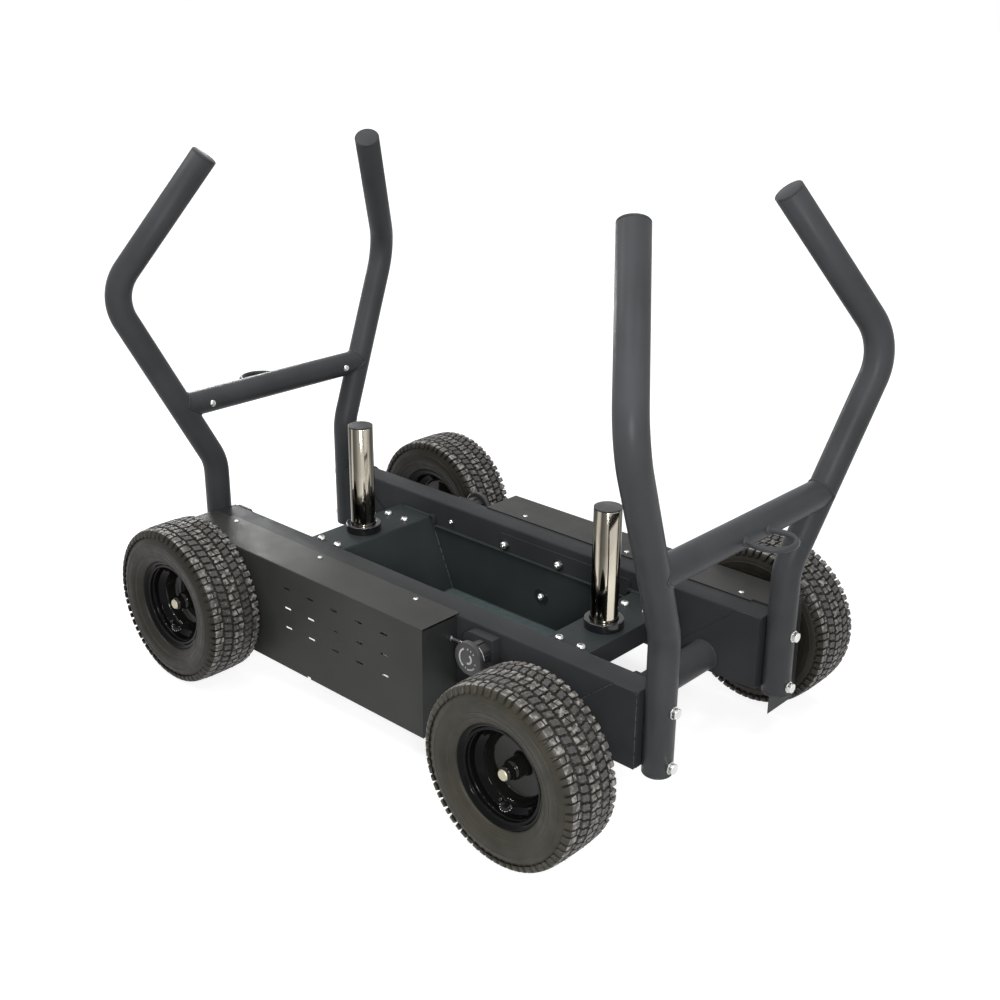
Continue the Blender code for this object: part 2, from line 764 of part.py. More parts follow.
def build_side_boxes():
    """Tray and folded cover of each side box. Both are open underneath, with no floor plate."""
    back = -rail_outer_y - gap
    inside_back = back - box_sheet
    front = -box_outer_y
    inside_front = front + box_sheet
    low_x = -rail_reach
    high_x = box_inner_end_x
    inside_low_x = low_x + box_sheet
    inside_high_x = high_x - box_sheet
    below = box_bottom - gap
    reach = box_flange_width
    axle_centre = (-wheel_base_half, back, axle_height)
    rod_centre = (high_x, -link_rod_y, link_rod_z)
    inside_top = rail_top - box_sheet
    flange_edge = inside_back - box_flange_width
    end_top = rail_top - box_end_drop
    tray = cut(
        block((low_x, inside_front + gap, box_bottom), (high_x, back, rail_top)),
        block((inside_low_x, front - gap, below), (inside_high_x, inside_back, inside_top)),
        block((inside_low_x, front - gap, below), (inside_high_x, flange_edge, rail_top + gap)),
        block((inside_low_x, inside_back - gap, below), (inside_high_x, back + gap, rail_bottom)),
        block((low_x - gap, front - gap, end_top), (inside_low_x + gap, inside_back, rail_top + gap)),
        block((inside_high_x - gap, front - gap, end_top), (high_x + gap, inside_back, rail_top + gap)),
        hole(axle_centre, "Y", -reach, reach, axle_hole_diameter),
        hole(rod_centre, "X", -reach, reach, link_rod_diameter + running_gap),
    )
    lid_inner_y = -rail_outer_y + lid_overlap
    outline = [
        (lid_inner_y, lid_top),
        (front, lid_top),
        (front, box_bottom),
        (inside_front, box_bottom),
        (inside_front, lid_underside),
        (lid_inner_y, lid_underside),
    ]
    rings = [[(x, y, z) for y, z in outline] for x in (low_x - lid_overhang, high_x + lid_overhang)]
    cover = loft(rings)
    notch = block(
        (low_x - reach, back - box_sheet, lid_underside - gap),
        (low_x + lid_notch_length, 0, lid_top + gap),
    )
    vents = []
    for column in range(vent_columns):
        for row in range(vent_rows):
            x = vent_centre_x + (column - (vent_columns - 1) / 2) * vent_pitch_x
            z = vent_centre_z + (row - (vent_rows - 1) / 2) * vent_pitch_z
            vents.append(block((x - vent_length / 2, front - box_sheet, z - vent_height / 2),
                               (x + vent_length / 2, inside_front + box_sheet, z + vent_height / 2)))
    axle_hole = hole((-wheel_base_half, front, axle_height), "Y", -reach, reach, axle_hole_diameter)
    screw_y = -rail_outer_y - lid_screw_inset
    drills = []
    for x in lid_screw_x:
        drills.append(hole((x, screw_y, lid_top), "Z", -4 * box_sheet, 4 * box_sheet, lid_screw_diameter))
    tray = cut(tray, *drills)
    cover = cut(cover, notch, axle_hole, *vents, *drills)
    near_tray = add_piece("box_tray_near", tray, "black_coat")
    add_partner("box_tray_far", near_tray)
    near_cover = add_piece("box_cover_near", cover, "charcoal_coat")
    add_partner("box_cover_far", near_cover)


def belt_outline(first, first_radius, second, second_radius, steps):
    """Points, as (x, z), of the outer loop round two circles that lie side by side along X."""
    span = second - first
    tilt = math.asin((first_radius - second_radius) / span.length)
    heading = math.atan2(span.y, span.x)
    points = []
    arcs = (
        (first, first_radius, heading + math.pi / 2 - tilt, heading + 3 * math.pi / 2 + tilt),
        (second, second_radius, heading - math.pi / 2 + tilt, heading + math.pi / 2 - tilt),
    )
    for centre, radius, start, end in arcs:
        for step in range(steps + 1):
            angle = start + (end - start) * step / steps
            points.append((centre.x + radius * math.cos(angle), centre.y + radius * math.sin(angle)))
    return points


def build_brakes():
    """Chain, rotor, rotor bearing and sliding magnet yoke inside each side box."""
    axle_centre = Vector((-wheel_base_half, axle_height))
    rotor_centre = Vector((rotor_x, rotor_z))
    inner, outer = [
        belt_outline(axle_centre, axle_sprocket_radius + out, rotor_centre, rotor_sprocket_radius + out, 10)
        for out in (running_gap, chain_thickness)
    ]
    low_y = -drive_plane_y - chain_width / 2
    high_y = -drive_plane_y + chain_width / 2
    stations = ((outer, low_y), (outer, high_y), (inner, high_y), (inner, low_y))
    chain = loft([[(x, y, z) for x, z in outline] for outline, y in stations], closed=True)
    near_chain = add_piece("drive_chain_near", chain, "steel")
    add_partner("drive_chain_far", near_chain)

    back = -rail_outer_y - gap - box_sheet - gap
    bearing_front = back - rotor_bearing_length
    centre = Vector((rotor_x, 0, rotor_z))
    shaft = rotor_shaft_diameter / 2
    bearing_bore = shaft / math.cos(math.pi / bearing_sides) + gap
    bearing = pipe(centre, "Y", bearing_front, back, rotor_bearing_diameter / 2, bearing_bore, bearing_sides)
    near_bearing = add_piece("rotor_bearing_near", bearing, "aluminium")
    add_partner("rotor_bearing_far", near_bearing)

    sides = rotor_sprocket_teeth * 2
    teeth = tooth_outline(rotor_sprocket_radius)
    disc_front = -rotor_disc_y - rotor_disc_thickness / 2
    disc_back = -rotor_disc_y + rotor_disc_thickness / 2
    cog_front = -drive_plane_y - sprocket_thickness / 2
    cog_back = -drive_plane_y + sprocket_thickness / 2
    stations = [
        (back - gap, shaft),
        (cog_back, shaft),
        (cog_back, teeth),
        (cog_front, teeth),
        (cog_front, shaft),
        (disc_back, shaft),
        (disc_back, rotor_disc_radius),
        (disc_front, rotor_disc_radius),
    ]
    rotor = loft([ring_about(centre + Vector((0, y, 0)), "Y", radius, sides) for y, radius in stations])
    near_rotor = add_piece("brake_rotor_near", rotor, "aluminium", centre + Vector((0, -rotor_disc_y, 0)))
    add_partner("brake_rotor_far", near_rotor)
    build_magnet_yoke(disc_front, disc_back, back)


def build_magnet_yoke(disc_front, disc_back, back):
    """A yoke that straddles the disc's rim, with a magnet bonded to each arm, slid by the selector's rod."""
    rim_x = rotor_x + rotor_disc_radius
    magnet_start = rim_x - magnet_engagement
    magnet_end = magnet_start + magnet_length
    low_z = rotor_z - magnet_height / 2
    high_z = rotor_z + magnet_height / 2
    front_magnet = (disc_front - magnet_clear - magnet_thickness, disc_front - magnet_clear)
    back_magnet = (disc_back + magnet_clear, disc_back + magnet_clear + magnet_thickness)
    bond = yoke_plate / 2
    magnets = [
        block((magnet_start, low_y, low_z + bond), (magnet_end, high_y, high_z - bond))
        for low_y, high_y in (
            (front_magnet[0] - bond, front_magnet[1]),
            (back_magnet[0], back_magnet[1] + bond),
        )
    ]
    web_start = magnet_end + gap
    web_end = web_start + yoke_web_thickness
    yoke_front = front_magnet[0] - yoke_plate
    yoke_back = back_magnet[1] + yoke_plate
    web = block((web_start, yoke_front, low_z), (web_end, yoke_back, high_z))
    arm_end = web_start + yoke_web_thickness / 2
    front_arm = block((magnet_start, yoke_front, low_z), (arm_end, yoke_front + yoke_plate, high_z))
    back_arm = block((magnet_start, yoke_back - yoke_plate, low_z), (arm_end, yoke_back, high_z))
    ear_top = link_rod_z + link_rod_diameter
    ear = block(
        (web_start, yoke_front + yoke_plate, high_z - yoke_plate),
        (web_end, -link_rod_y + link_rod_diameter, ear_top),
    )
    rod_drill = hole((0, -link_rod_y, link_rod_z), "X", web_start - gap, web_end + gap, link_rod_diameter)
    yoke = cut(fuse(web, front_arm, back_arm, ear, *magnets), rod_drill)
    origin = (web_end, -link_rod_y, link_rod_z)
    near_yoke = add_piece("magnet_yoke_near", yoke, "steel", origin)
    add_partner("magnet_yoke_far", near_yoke)
    rod = cylinder((0, -link_rod_y, link_rod_z), "X", web_start, selector_x, link_rod_diameter / 2)
    near_rod = add_piece("link_rod_near", rod, "zinc", origin)
    add_partner("link_rod_far", near_rod)
    guide_centre = (guide_centre_x, -link_rod_y, link_rod_z)
    guide = cut(
        block(
            (guide_centre_x - guide_length / 2, back - guide_side, link_rod_z - guide_side / 2),
            (guide_centre_x + guide_length / 2, back, link_rod_z + guide_side / 2),
        ),
        hole(guide_centre, "X", -guide_length, guide_length, link_rod_diameter + running_gap),
    )
    near_guide = add_piece("link_guide_near", guide, "black_plastic")
    add_partner("link_guide_far", near_guide)


def build_selectors():
    """Housing and lobed knob with a flat dial, on the outer face of each rail."""
    back = -rail_outer_y - gap
    front = back - housing_depth
    top_z = rail_top - housing_drop
    low_z = top_z - housing_height
    outline = [(housing_start_x, low_z), (housing_end_x, low_z), (housing_end_x, top_z)]
    arc_steps = 6
    for step in range(arc_steps + 1):
        angle = math.pi / 2 * (1 + step / arc_steps)
        outline.append((
            housing_start_x + housing_corner_radius * (1 + math.cos(angle)),
            top_z - housing_corner_radius * (1 - math.sin(angle)),
        ))
    rings = [[(x, y, z) for x, z in outline] for y in (back, front)]
    rod_end = (selector_x, -link_rod_y, link_rod_z)
    rod_room = housing_start_x - selector_x - gap
    rod_drill = hole(rod_end, "X", rod_room, gap, link_rod_diameter + running_gap)
    stub_centre = (selector_x, front, selector_z)
    stub_drill = hole(stub_centre, "Y", -gap, knob_stub_depth + gap, 2 * (knob_stub_radius + gap))
    housing = cut(loft(rings), rod_drill, stub_drill)
    near_housing = add_piece("selector_housing_near", housing, "charcoal_coat")
    add_partner("selector_housing_far", near_housing)
    sides = knob_lobes * 4

    def lobed(point):
        return knob_radius + knob_lobe_depth * math.cos(2 * math.pi * point * knob_lobes / sides)

    knob_back = front - gap
    knob_front = knob_back - knob_length
    dial_front = knob_front - dial_thickness
    stations = [
        (front + knob_stub_depth, knob_stub_radius),
        (knob_back, knob_stub_radius),
        (knob_back, lobed),
        (knob_front, lobed),
        (knob_front, dial_radius),
        (dial_front, dial_radius),
    ]
    centre = Vector((selector_x, 0, selector_z))
    knob = loft([ring_about(centre + Vector((0, y, 0)), "Y", radius, sides) for y, radius in stations])
    near_knob = add_piece("selector_knob_near", knob, "black_plastic", centre + Vector((0, front, 0)))
    add_partner("selector_knob_far", near_knob)


build_handles()
build_crossbars()
build_rails()
build_axles()
build_cross_members()
build_bin()
build_straps()
build_side_boxes()
build_brakes()
build_selectors()
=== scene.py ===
"""Looks of the weight sled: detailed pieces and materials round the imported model, in metres."""
import random
from math import cos, hypot, pi, radians, sin, sqrt, tan

import bmesh
import bpy
from mathutils import Matrix, Vector


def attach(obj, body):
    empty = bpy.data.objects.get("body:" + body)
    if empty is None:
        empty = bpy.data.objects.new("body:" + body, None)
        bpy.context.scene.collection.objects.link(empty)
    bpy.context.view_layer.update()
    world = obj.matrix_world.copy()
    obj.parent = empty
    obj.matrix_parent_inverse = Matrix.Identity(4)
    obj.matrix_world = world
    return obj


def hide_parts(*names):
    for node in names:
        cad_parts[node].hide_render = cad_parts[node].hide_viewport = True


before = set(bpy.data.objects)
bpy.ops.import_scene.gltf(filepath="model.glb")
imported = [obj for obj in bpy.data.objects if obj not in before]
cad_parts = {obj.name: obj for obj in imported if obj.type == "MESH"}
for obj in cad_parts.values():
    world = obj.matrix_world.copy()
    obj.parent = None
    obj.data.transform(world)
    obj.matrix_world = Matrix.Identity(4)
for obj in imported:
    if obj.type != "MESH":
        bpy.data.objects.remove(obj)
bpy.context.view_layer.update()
scene = bpy.context.scene
random.seed(7)

# Main sizes, the same as the solids'
tube_radius = 0.0254
tip = Vector((0.4975, 0.2005, 0.9920))
elbow = Vector((0.6224, 0.3536, 0.7324))
knee = Vector((0.5720, 0.1760, 0.3664))
foot_height = 0.1235
bend_radius = 0.100
crossbar_height = 0.4916
rail_inner, rail_outer = 0.1506, 0.2014
rail_bottom, rail_top = 0.1285, 0.2685
rail_reach = 0.5463
wheel_x, wheel_y = 0.435, 0.356
wheel_radius = 0.158
axle_reach = 0.393
cross_low, cross_high = 0.270, 0.366
flange_top = 0.2310
bin_floor = 0.081
bin_floor_half = 0.204
bin_side_top = 0.215
post_x = 0.318
post_top = 0.459
post_radius = 0.0250
box_front = 0.288
box_a, box_b = -rail_reach, 0.151
box_bottom = 0.056
lid_top = 0.2703
selector_x, selector_z = 0.232, 0.233
link_y, link_z = -0.215, 0.227

# Smaller sizes of the visible pieces
washer_height = 0.002
gusset_height = 0.0039
nub_height = 0.0010
lug_count = 64


# Node materials

def add_node(tree, kind, inputs=None, operation=None, data_type=None):
    """A shader node with its inputs. An input given as a socket is linked, any other value is set."""
    made = tree.nodes.new(kind)
    if operation:
        made.operation = operation
    if data_type:
        made.data_type = data_type
    for name, value in (inputs or {}).items():
        if isinstance(value, bpy.types.NodeSocket):
            tree.links.new(value, made.inputs[name])
        else:
            made.inputs[name].default_value = value
    return made


def object_point(tree):
    return add_node(tree, "ShaderNodeTexCoord").outputs["Object"]


def noise(tree, scale, detail, stretch=None):
    """Noise over the object's own coordinates."""
    point = object_point(tree)
    if stretch:
        point = add_node(tree, "ShaderNodeMapping", {"Vector": point, "Scale": stretch}).outputs["Vector"]
    inputs = {"Vector": point, "Scale": scale, "Detail": detail}
    return add_node(tree, "ShaderNodeTexNoise", inputs).outputs["Fac"]


def ramp(tree, source, stops):
    """A colour ramp with (position, grey or colour) stops."""
    made = add_node(tree, "ShaderNodeValToRGB", {"Fac": source})
    elements = made.color_ramp.elements
    while len(elements) < len(stops):
        elements.new(0.5)
    for element, (position, value) in zip(elements, stops):
        element.position = position
        colour = value if isinstance(value, tuple) else (value, value, value)
        element.color = (*colour, 1.0)
    return made.outputs["Color"]


def scaled(colour, factor):
    return tuple(part * factor for part in colour)


def surface(name, tone, rough, relief, stretch=None, metallic=0.0, specular=0.5):
    """A material whose tone, gloss and fine relief vary with noise.

    Tone is (scale, detail, stops), or nothing where it is linked later. Rough is (scale, detail, least,
    most), and relief is (scale, detail, strength, depth).
    """
    made = bpy.data.materials.new(name)
    made.use_nodes = True
    tree = made.node_tree
    shader = tree.nodes["Principled BSDF"]
    shader.inputs["Metallic"].default_value = metallic
    shader.inputs["Specular IOR Level"].default_value = specular
    if tone:
        scale, detail, stops = tone
        tree.links.new(ramp(tree, noise(tree, scale, detail, stretch), stops), shader.inputs["Base Color"])
    scale, detail, least, most = rough
    gloss = ramp(tree, noise(tree, scale, detail, stretch), [(0.3, least), (0.7, most)])
    tree.links.new(gloss, shader.inputs["Roughness"])
    scale, detail, strength, depth = relief
    inputs = {"Height": noise(tree, scale, detail, stretch), "Strength": strength, "Distance": depth}
    tree.links.new(add_node(tree, "ShaderNodeBump", inputs).outputs["Normal"], shader.inputs["Normal"])
    return made


def blend_in(material, share, second):
    """Mixes a second tone into a material's own."""
    tree = material.node_tree
    base = tree.nodes["Principled BSDF"].inputs["Base Color"]
    inputs = {"Factor": share, "A": base.links[0].from_socket, "B": second}
    mix = add_node(tree, "ShaderNodeMix", inputs, data_type="RGBA")
    tree.links.new(mix.outputs["Result"], base)


def painted_light_and_shade_by_place(material, axis, stops, shade, span):
    """Mixes a second tone into a coat by the distance from a middle plane, to paint light and shade onto it
    by place.
    """
    tree = material.node_tree
    parts = add_node(tree, "ShaderNodeSeparateXYZ", {0: object_point(tree)})
    distance = add_node(tree, "ShaderNodeMath", {0: parts.outputs[axis]}, "ABSOLUTE")
    inputs = {"Value": distance.outputs[0], "From Min": span[0], "From Max": span[1]}
    share = add_node(tree, "ShaderNodeMapRange", inputs)
    second = ramp(tree, noise(tree, 90.0, 5.0), [(0.3, scaled(shade, 0.8)), (0.7, shade)])
    blend_in(material, ramp(tree, share.outputs["Result"], stops), second)


def powder_coat(name, colour, spread=0.12, rough=(0.38, 0.52), specular=0.5):
    """Satin powder coat: fine grain, slow changes of tone, and a gloss that varies a little."""
    stops = [(0.35, scaled(colour, 1 - spread)), (0.65, scaled(colour, 1 + spread))]
    return surface(name, (7.0, 5.0, stops), (28.0, 6.0, *rough), (1900, 2.0, 0.5, 0.00012), specular=specular)


def bare_metal(name, colour, rough, stretch=None):
    """Metal with faint drawn marks."""
    tone = (60.0, 4.0, [(0.3, scaled(colour, 0.88)), (0.7, colour)])
    return surface(name, tone, (140.0, 4.0, *rough), (500.0, 2.0, 0.3, 0.00004), stretch, metallic=1.0)


def post_chrome(name, centre_x):
    """Chrome on a post with a painted reflection: bright and dark upright bands laid across the post along
    the camera's horizontal, with faint marks.
    """
    made = surface(name, None, (140.0, 4.0, 0.05, 0.12), (500.0, 2.0, 0.3, 0.00001), (1.0, 1.0, 0.05), 1.0)
    tree = made.node_tree
    # Painted reflection: the bands run across the post as the camera sees it, and their beige tint stands in
    # for the reflected floor.
    across_x, across_y = 0.736, 0.677
    inputs = {0: object_point(tree), 1: (across_x, across_y, 0.0)}
    across = add_node(tree, "ShaderNodeVectorMath", inputs, "DOT_PRODUCT")
    inputs = {0: noise(tree, 40.0, 2.0, (1.0, 1.0, 0.25)), 1: 0.006, 2: across.outputs["Value"]}
    wobble = add_node(tree, "ShaderNodeMath", inputs, "MULTIPLY_ADD")
    middle = across_x * centre_x + 0.003
    inputs = {"Value": wobble.outputs[0], "From Min": middle - post_radius, "From Max": middle + post_radius}
    share = add_node(tree, "ShaderNodeMapRange", inputs)
    # Painted reflection: the greys of the bands across the post.
    stops = [(0.00, 0.05), (0.10, 0.09), (0.14, 0.46), (0.19, 0.46), (0.25, 0.07), (0.36, 0.13),
             (0.44, 0.30), (0.56, 0.50), (0.78, 0.54), (0.86, 0.22), (0.92, 0.06), (1.00, 0.05)]
    stops = [(spot, scaled((1.0, 0.92, 0.76), grey)) for spot, grey in stops]
    painted_reflection_bands = ramp(tree, share.outputs["Result"], stops)
    tree.links.new(painted_reflection_bands, tree.nodes["Principled BSDF"].inputs["Base Color"])
    return made


def moulded(name, colour, rough, grain=0.00006, specular=0.5):
    """Moulded plastic or enamel with a soft, slightly uneven gloss."""
    tone = (16.0, 4.0, [(0.35, scaled(colour, 0.8)), (0.65, colour)])
    return surface(name, tone, (45.0, 5.0, *rough), (900.0, 2.0, 0.4, grain), specular=specular)


def lug_rubber(name, base, dust_and_sheen, dusty):
    """The lugs' tops: rubber rubbed grey and dusty, patch by patch."""
    tone = (260.0, 6.0, [(0.35, scaled(base, 0.55)), (0.65, base)])
    made = surface(name, tone, (90.0, 5.0, 0.40, 0.70), (420.0, 5.0, 0.8, 0.0007))
    tree = made.node_tree
    patches = ramp(tree, noise(tree, 120.0, 7.0), [(dusty, 0.0), (dusty + 0.17, 0.9)])
    blend_in(made, patches, (*dust_and_sheen, 1.0))
    return made


def sidewall_rubber(name, dust_and_sheen):
    """The smooth sidewall: brown-black rubber with a low sheen. A factor scales its tone, both for a dusty
    film and for painted sheen.
    """
    stops = [(0.3, scaled((0.023, 0.021, 0.015), dust_and_sheen)), (0.7, scaled((0.039, 0.035, 0.026), dust_and_sheen))]
    relief = (1200.0, 3.0, 0.4, 0.00012)
    return surface(name, (24.0, 6.0, stops), (50.0, 5.0, 0.40, 0.54), relief, specular=0.20)


# Painted light and shade: the frame's one paint in two copies. The darker is for the flat rails, plates and
# cross members, and the lighter for the tubes, standing in for their highlights.
coat = powder_coat("charcoal_coat", (0.0310, 0.0322, 0.0340), rough=(0.36, 0.46), specular=0.05)
tube_coat_painted_light = powder_coat("tube_coat_painted_light", (0.0480, 0.0500, 0.0535), rough=(0.32, 0.42), specular=0.07)
box_coat = powder_coat("box_coat", (0.033, 0.033, 0.0300), rough=(0.40, 0.50), specular=0.14)
tray_coat = powder_coat("tray_coat", (0.022, 0.023, 0.023), specular=0.20)
bin_coat = powder_coat("bin_coat", (0.027, 0.032, 0.033), specular=0.06)
# Painted light: the bin's floor is lighter than its walls, standing in for the light from above that falls
# there.
painted_light_and_shade_by_place(bin_coat, "Z", [(0.0, 1.0), (0.55, 1.0), (0.75, 0.0)], (0.085, 0.108, 0.110), (0.074, 0.088))
# Painted shade: a near-black strip along the cover's inner edge, standing in for the shaded gap between the
# cover and the rail.
painted_light_and_shade_by_place(box_coat, "Y", [(0.0, 0.0), (0.12, 0.9), (0.62, 0.9), (0.80, 0.0)], (0.006, 0.006, 0.006),
               (0.1946, 0.1970))
# Welds in a paler coat than the frame's.
pale_seam = powder_coat("pale_seam", (0.060, 0.066, 0.066), spread=0.6, rough=(0.34, 0.50), specular=0.25)
gloss_black = moulded("gloss_black", (0.009, 0.009, 0.008), (0.03, 0.07), 0.000003, 0.22)
# Painted shade: a darker, less glossy copy of the rim's black for its flanges, bead seats and well, standing
# in for the dark surroundings they reflect.
rim_edge_black_painted_shade = moulded("rim_edge_black_painted_shade", (0.004, 0.004, 0.004), (0.04, 0.08), 0.000003, 0.06)
collar_black = moulded("collar_black", (0.010, 0.010, 0.011), (0.12, 0.25))
plastic = moulded("black_plastic", (0.016, 0.016, 0.017), (0.35, 0.5))
dial_print = moulded("dial_print", (0.46, 0.46, 0.44), (0.4, 0.6))
zinc = bare_metal("zinc_screws", (0.66, 0.66, 0.64), (0.22, 0.36))
dark_zinc = bare_metal("dark_zinc", (0.11, 0.115, 0.12), (0.30, 0.45))
steel = bare_metal("plain_steel", (0.42, 0.42, 0.43), (0.28, 0.45), (1.0, 0.2, 1.0))
aluminium = bare_metal("turned_aluminium", (0.60, 0.61, 0.63), (0.25, 0.38))
axle_end = bare_metal("axle_end", (0.44, 0.41, 0.31), (0.35, 0.5))
# Painted light and shade: two copies of the tread rubber. The lighter is for the shoulder and middle rows,
# and the darker for the round blocks between them, standing in for the sheen those rows catch. The dusty
# patches within each are the rubber's own.
lug_tops = lug_rubber("lug_rubber", (0.075, 0.071, 0.065), (0.300, 0.282, 0.262), 0.47)
lug_tops_painted_shade = lug_rubber("lug_rubber_painted_shade", (0.054, 0.052, 0.048), (0.210, 0.197, 0.184), 0.57)
# Painted light and shade: a lighter sidewall for the near tyre at end B, standing in for the sheen it
# catches, and a darker copy for the other tyres.
sidewall = sidewall_rubber("sidewall_rubber", 1.0)
darker_sidewall_painted_shade = sidewall_rubber("sidewall_rubber_painted_shade", 0.48)

# Rubber between the lugs and on their flanks, darker and a little brown
grooves = surface("groove_rubber", (160.0, 6.0, [(0.3, (0.018, 0.017, 0.015)), (0.7, (0.048, 0.045, 0.040))]),
                  (90.0, 5.0, 0.45, 0.70), (700.0, 4.0, 0.5, 0.0003), specular=0.30)

# Each look is a material and a slot name
# Looks from the frame's darker and lighter copies of one paint: painted shade and painted light.
frame_look_painted_shade = (coat, "frame_coat")
tube_look_painted_light = (tube_coat_painted_light, "frame_coat")
screw_look = (zinc, "zinc_steel")
washer_look = (dark_zinc, "zinc_steel")
plastic_look = (plastic, "black_plastic")


# Mesh helpers

def add_object(name, data):
    made = bpy.data.objects.new(name, data)
    scene.collection.objects.link(made)
    return made


def to_mesh(name, made):
    """A mesh from a bmesh, its faces turned outwards. The bmesh is freed."""
    bmesh.ops.recalc_face_normals(made, faces=made.faces)
    mesh = bpy.data.meshes.new(name)
    made.to_mesh(mesh)
    made.free()
    return mesh


def finish_object(name, mesh, look, body, stands_for=(), bevel=0.0, smooth=35, segments=2):
    """A piece on its CAD body: shaded, bevelled if asked, with its material."""
    material, slot = look
    mesh.shade_smooth()
    mesh.set_sharp_from_angle(angle=radians(smooth))
    piece = add_object(name, mesh)
    if not mesh.materials:
        mesh.materials.append(material)
    if bevel:
        edge = piece.modifiers.new("edges", "BEVEL")
        edge.width = bevel
        edge.segments = segments
        edge.limit_method = "ANGLE"
        edge.angle_limit = radians(35)
        edge.harden_normals = True
    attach(piece, body)
    if stands_for:
        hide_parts(*stands_for)
    return piece


def finish_mesh(name, made, look, body, stands_for=(), **options):
    return finish_object(name, to_mesh(name, made), look, body, stands_for, **options)


def add_loft(made, rings, closed=False):
    """Faces from ring to ring. A closed loft joins the last ring to the first, an open one has two caps."""
    placed = [[made.verts.new(point) for point in points] for points in rings]
    count = len(rings[0])
    for span in range(len(rings) if closed else len(rings) - 1):
        here, after = placed[span], placed[(span + 1) % len(rings)]
        for i in range(count):
            j = (i + 1) % count
            made.faces.new((here[i], here[j], after[j], after[i]))
    if not closed:
        made.faces.new(placed[0])
        made.faces.new(placed[-1])


def loft(rings):
    made = bmesh.new()
    add_loft(made, rings)
    return made


def polar(radius, angle):
    return radius * cos(angle), radius * sin(angle)


def angles(count, first=0.0):
    """Angles spread evenly over a full turn."""
    return [2 * pi * (i + first) / count for i in range(count)]


def at(axis, along, across, up):
    """A point by its place along one of the main axes and in the plane square to it."""
    return Vector({"X": (along, across, up), "Y": (across, along, up), "Z": (across, up, along)}[axis])


def ring(centre, axis, radius, sides):
    """Points of a circle about one of the main axes."""
    return [Vector(centre) + at(axis, 0, *polar(radius, angle)) for angle in angles(sides)]


def circle(centre, across, up, radius, sides):
    """Points of a circle in the plane of two unit vectors."""
    return [centre + across * radius * cos(angle) + up * radius * sin(angle) for angle in angles(sides)]


def add_turned(made, centre, axis, profile, sides, closed=False):
    """A turned shape from (distance along the axis, radius) pairs."""
    unit = at(axis, 1, 0, 0)
    rings = [ring(Vector(centre) + unit * along, axis, radius, sides) for along, radius in profile]
    add_loft(made, rings, closed)


def turned(centre, axis, profile, sides, closed=False):
    made = bmesh.new()
    add_turned(made, centre, axis, profile, sides, closed)
    return made


def arc_points(start, corner, end, steps):
    """A small arc from start to end, drawn towards the corner between them."""
    shares = [step / steps for step in range(steps + 1)]
    return [start.lerp(corner, t).lerp(corner.lerp(end, t), t) for t in shares]


def rounded_profile(points, radius, steps=3):
    """A turned profile whose inner corners are swapped for small arcs."""
    path = [Vector(p) for p in points]
    result = [path[0]]
    for before, corner, after in zip(path, path[1:], path[2:]):
        way_in = corner - before
        way_out = after - corner
        reach = min(radius, way_in.length * 0.45, way_out.length * 0.45)
        start = corner - way_in.normalized() * reach
        result += arc_points(start, corner, corner + way_out.normalized() * reach, steps)
    result.append(path[-1])
    return [(p.x, p.y) for p in result]


def rounded_path(corners, radius, steps):
    """A line through the corners, with a bend of this radius at each inner one."""
    path = [corners[0]]
    for before, corner, after in zip(corners, corners[1:], corners[2:]):
        way_in = (corner - before).normalized()
        way_out = (after - corner).normalized()
        turn = way_in.angle(way_out)
        start = corner - way_in * radius * tan(turn / 2)
        side = (way_out - way_in * way_in.dot(way_out)).normalized()
        pivot = start + side * radius
        for step in range(steps + 1):
            angle = turn * step / steps
            path.append(pivot - side * radius * cos(angle) + way_in * radius * sin(angle))
    path.append(corners[-1])
    return path


def path_rings(path, radii, sides):
    """Rings square to a path, turned as little as possible from one to the next."""
    last = len(path) - 1
    directions = [(path[min(i + 1, last)] - path[max(i - 1, 0)]).normalized() for i in range(len(path))]
    side = directions[0].orthogonal().normalized()
    rings = []
    for point, direction, radius in zip(path, directions, radii):
        side = (side - direction * side.dot(direction)).normalized()
        rings.append(circle(point, side, direction.cross(side), radius, sides))
    return rings


def extruded(outline, axis, start, end):
    """A closed outline of (u, v) pushed along an axis: X takes (y, z), Y takes (x, z), Z takes (x, y)."""
    return [[at(axis, along, u, v) for u, v in outline] for along in (start, end)]


def box(low, high):
    (x0, y0, z0), (x1, y1, z1) = low, high
    return loft(extruded([(x0, y0), (x1, y0), (x1, y1), (x0, y1)], "Z", z0, z1))


def rounded_rectangle(low, high, radius, steps=4):
    (u0, v0), (u1, v1) = low, high
    left, right, bottom, top = u0 + radius, u1 - radius, v0 + radius, v1 - radius
    points = []
    for u, v, start in ((right, top, 0), (left, top, 90), (left, bottom, 180), (right, bottom, 270)):
        for step in range(steps + 1):
            across, up = polar(radius, radians(start + 90 * step / steps))
            points.append((u + across, v + up))
    return points


def metres(points):
    """Points that were given in millimetres."""
    return [(u * 0.001, v * 0.001) for u, v in points]


def transformed(source, matrix):
    made = source.copy()
    made.transform(matrix)
    if matrix.determinant() < 0:
        bmesh.ops.reverse_faces(made, faces=made.faces)
    return made


def mirror(x, y):
    return Matrix.Diagonal((x, y, 1, 1))


half_turn = Matrix.Rotation(pi, 4, "Z")
corners = {"a_near": (-1, -1), "a_far": (-1, 1), "b_near": (1, -1), "b_far": (1, 1)}


def both_sides(name, made, look, stands_for=(), body="frame", **options):
    """A piece made on the near side, and its partner turned half a turn about Z."""
    for side, part in (("_near", made), ("_far", transformed(made, half_turn))):
        carrier = body if body == "frame" else body + side
        finish_mesh(name + side, part, look, carrier, [node + side for node in stands_for], **options)


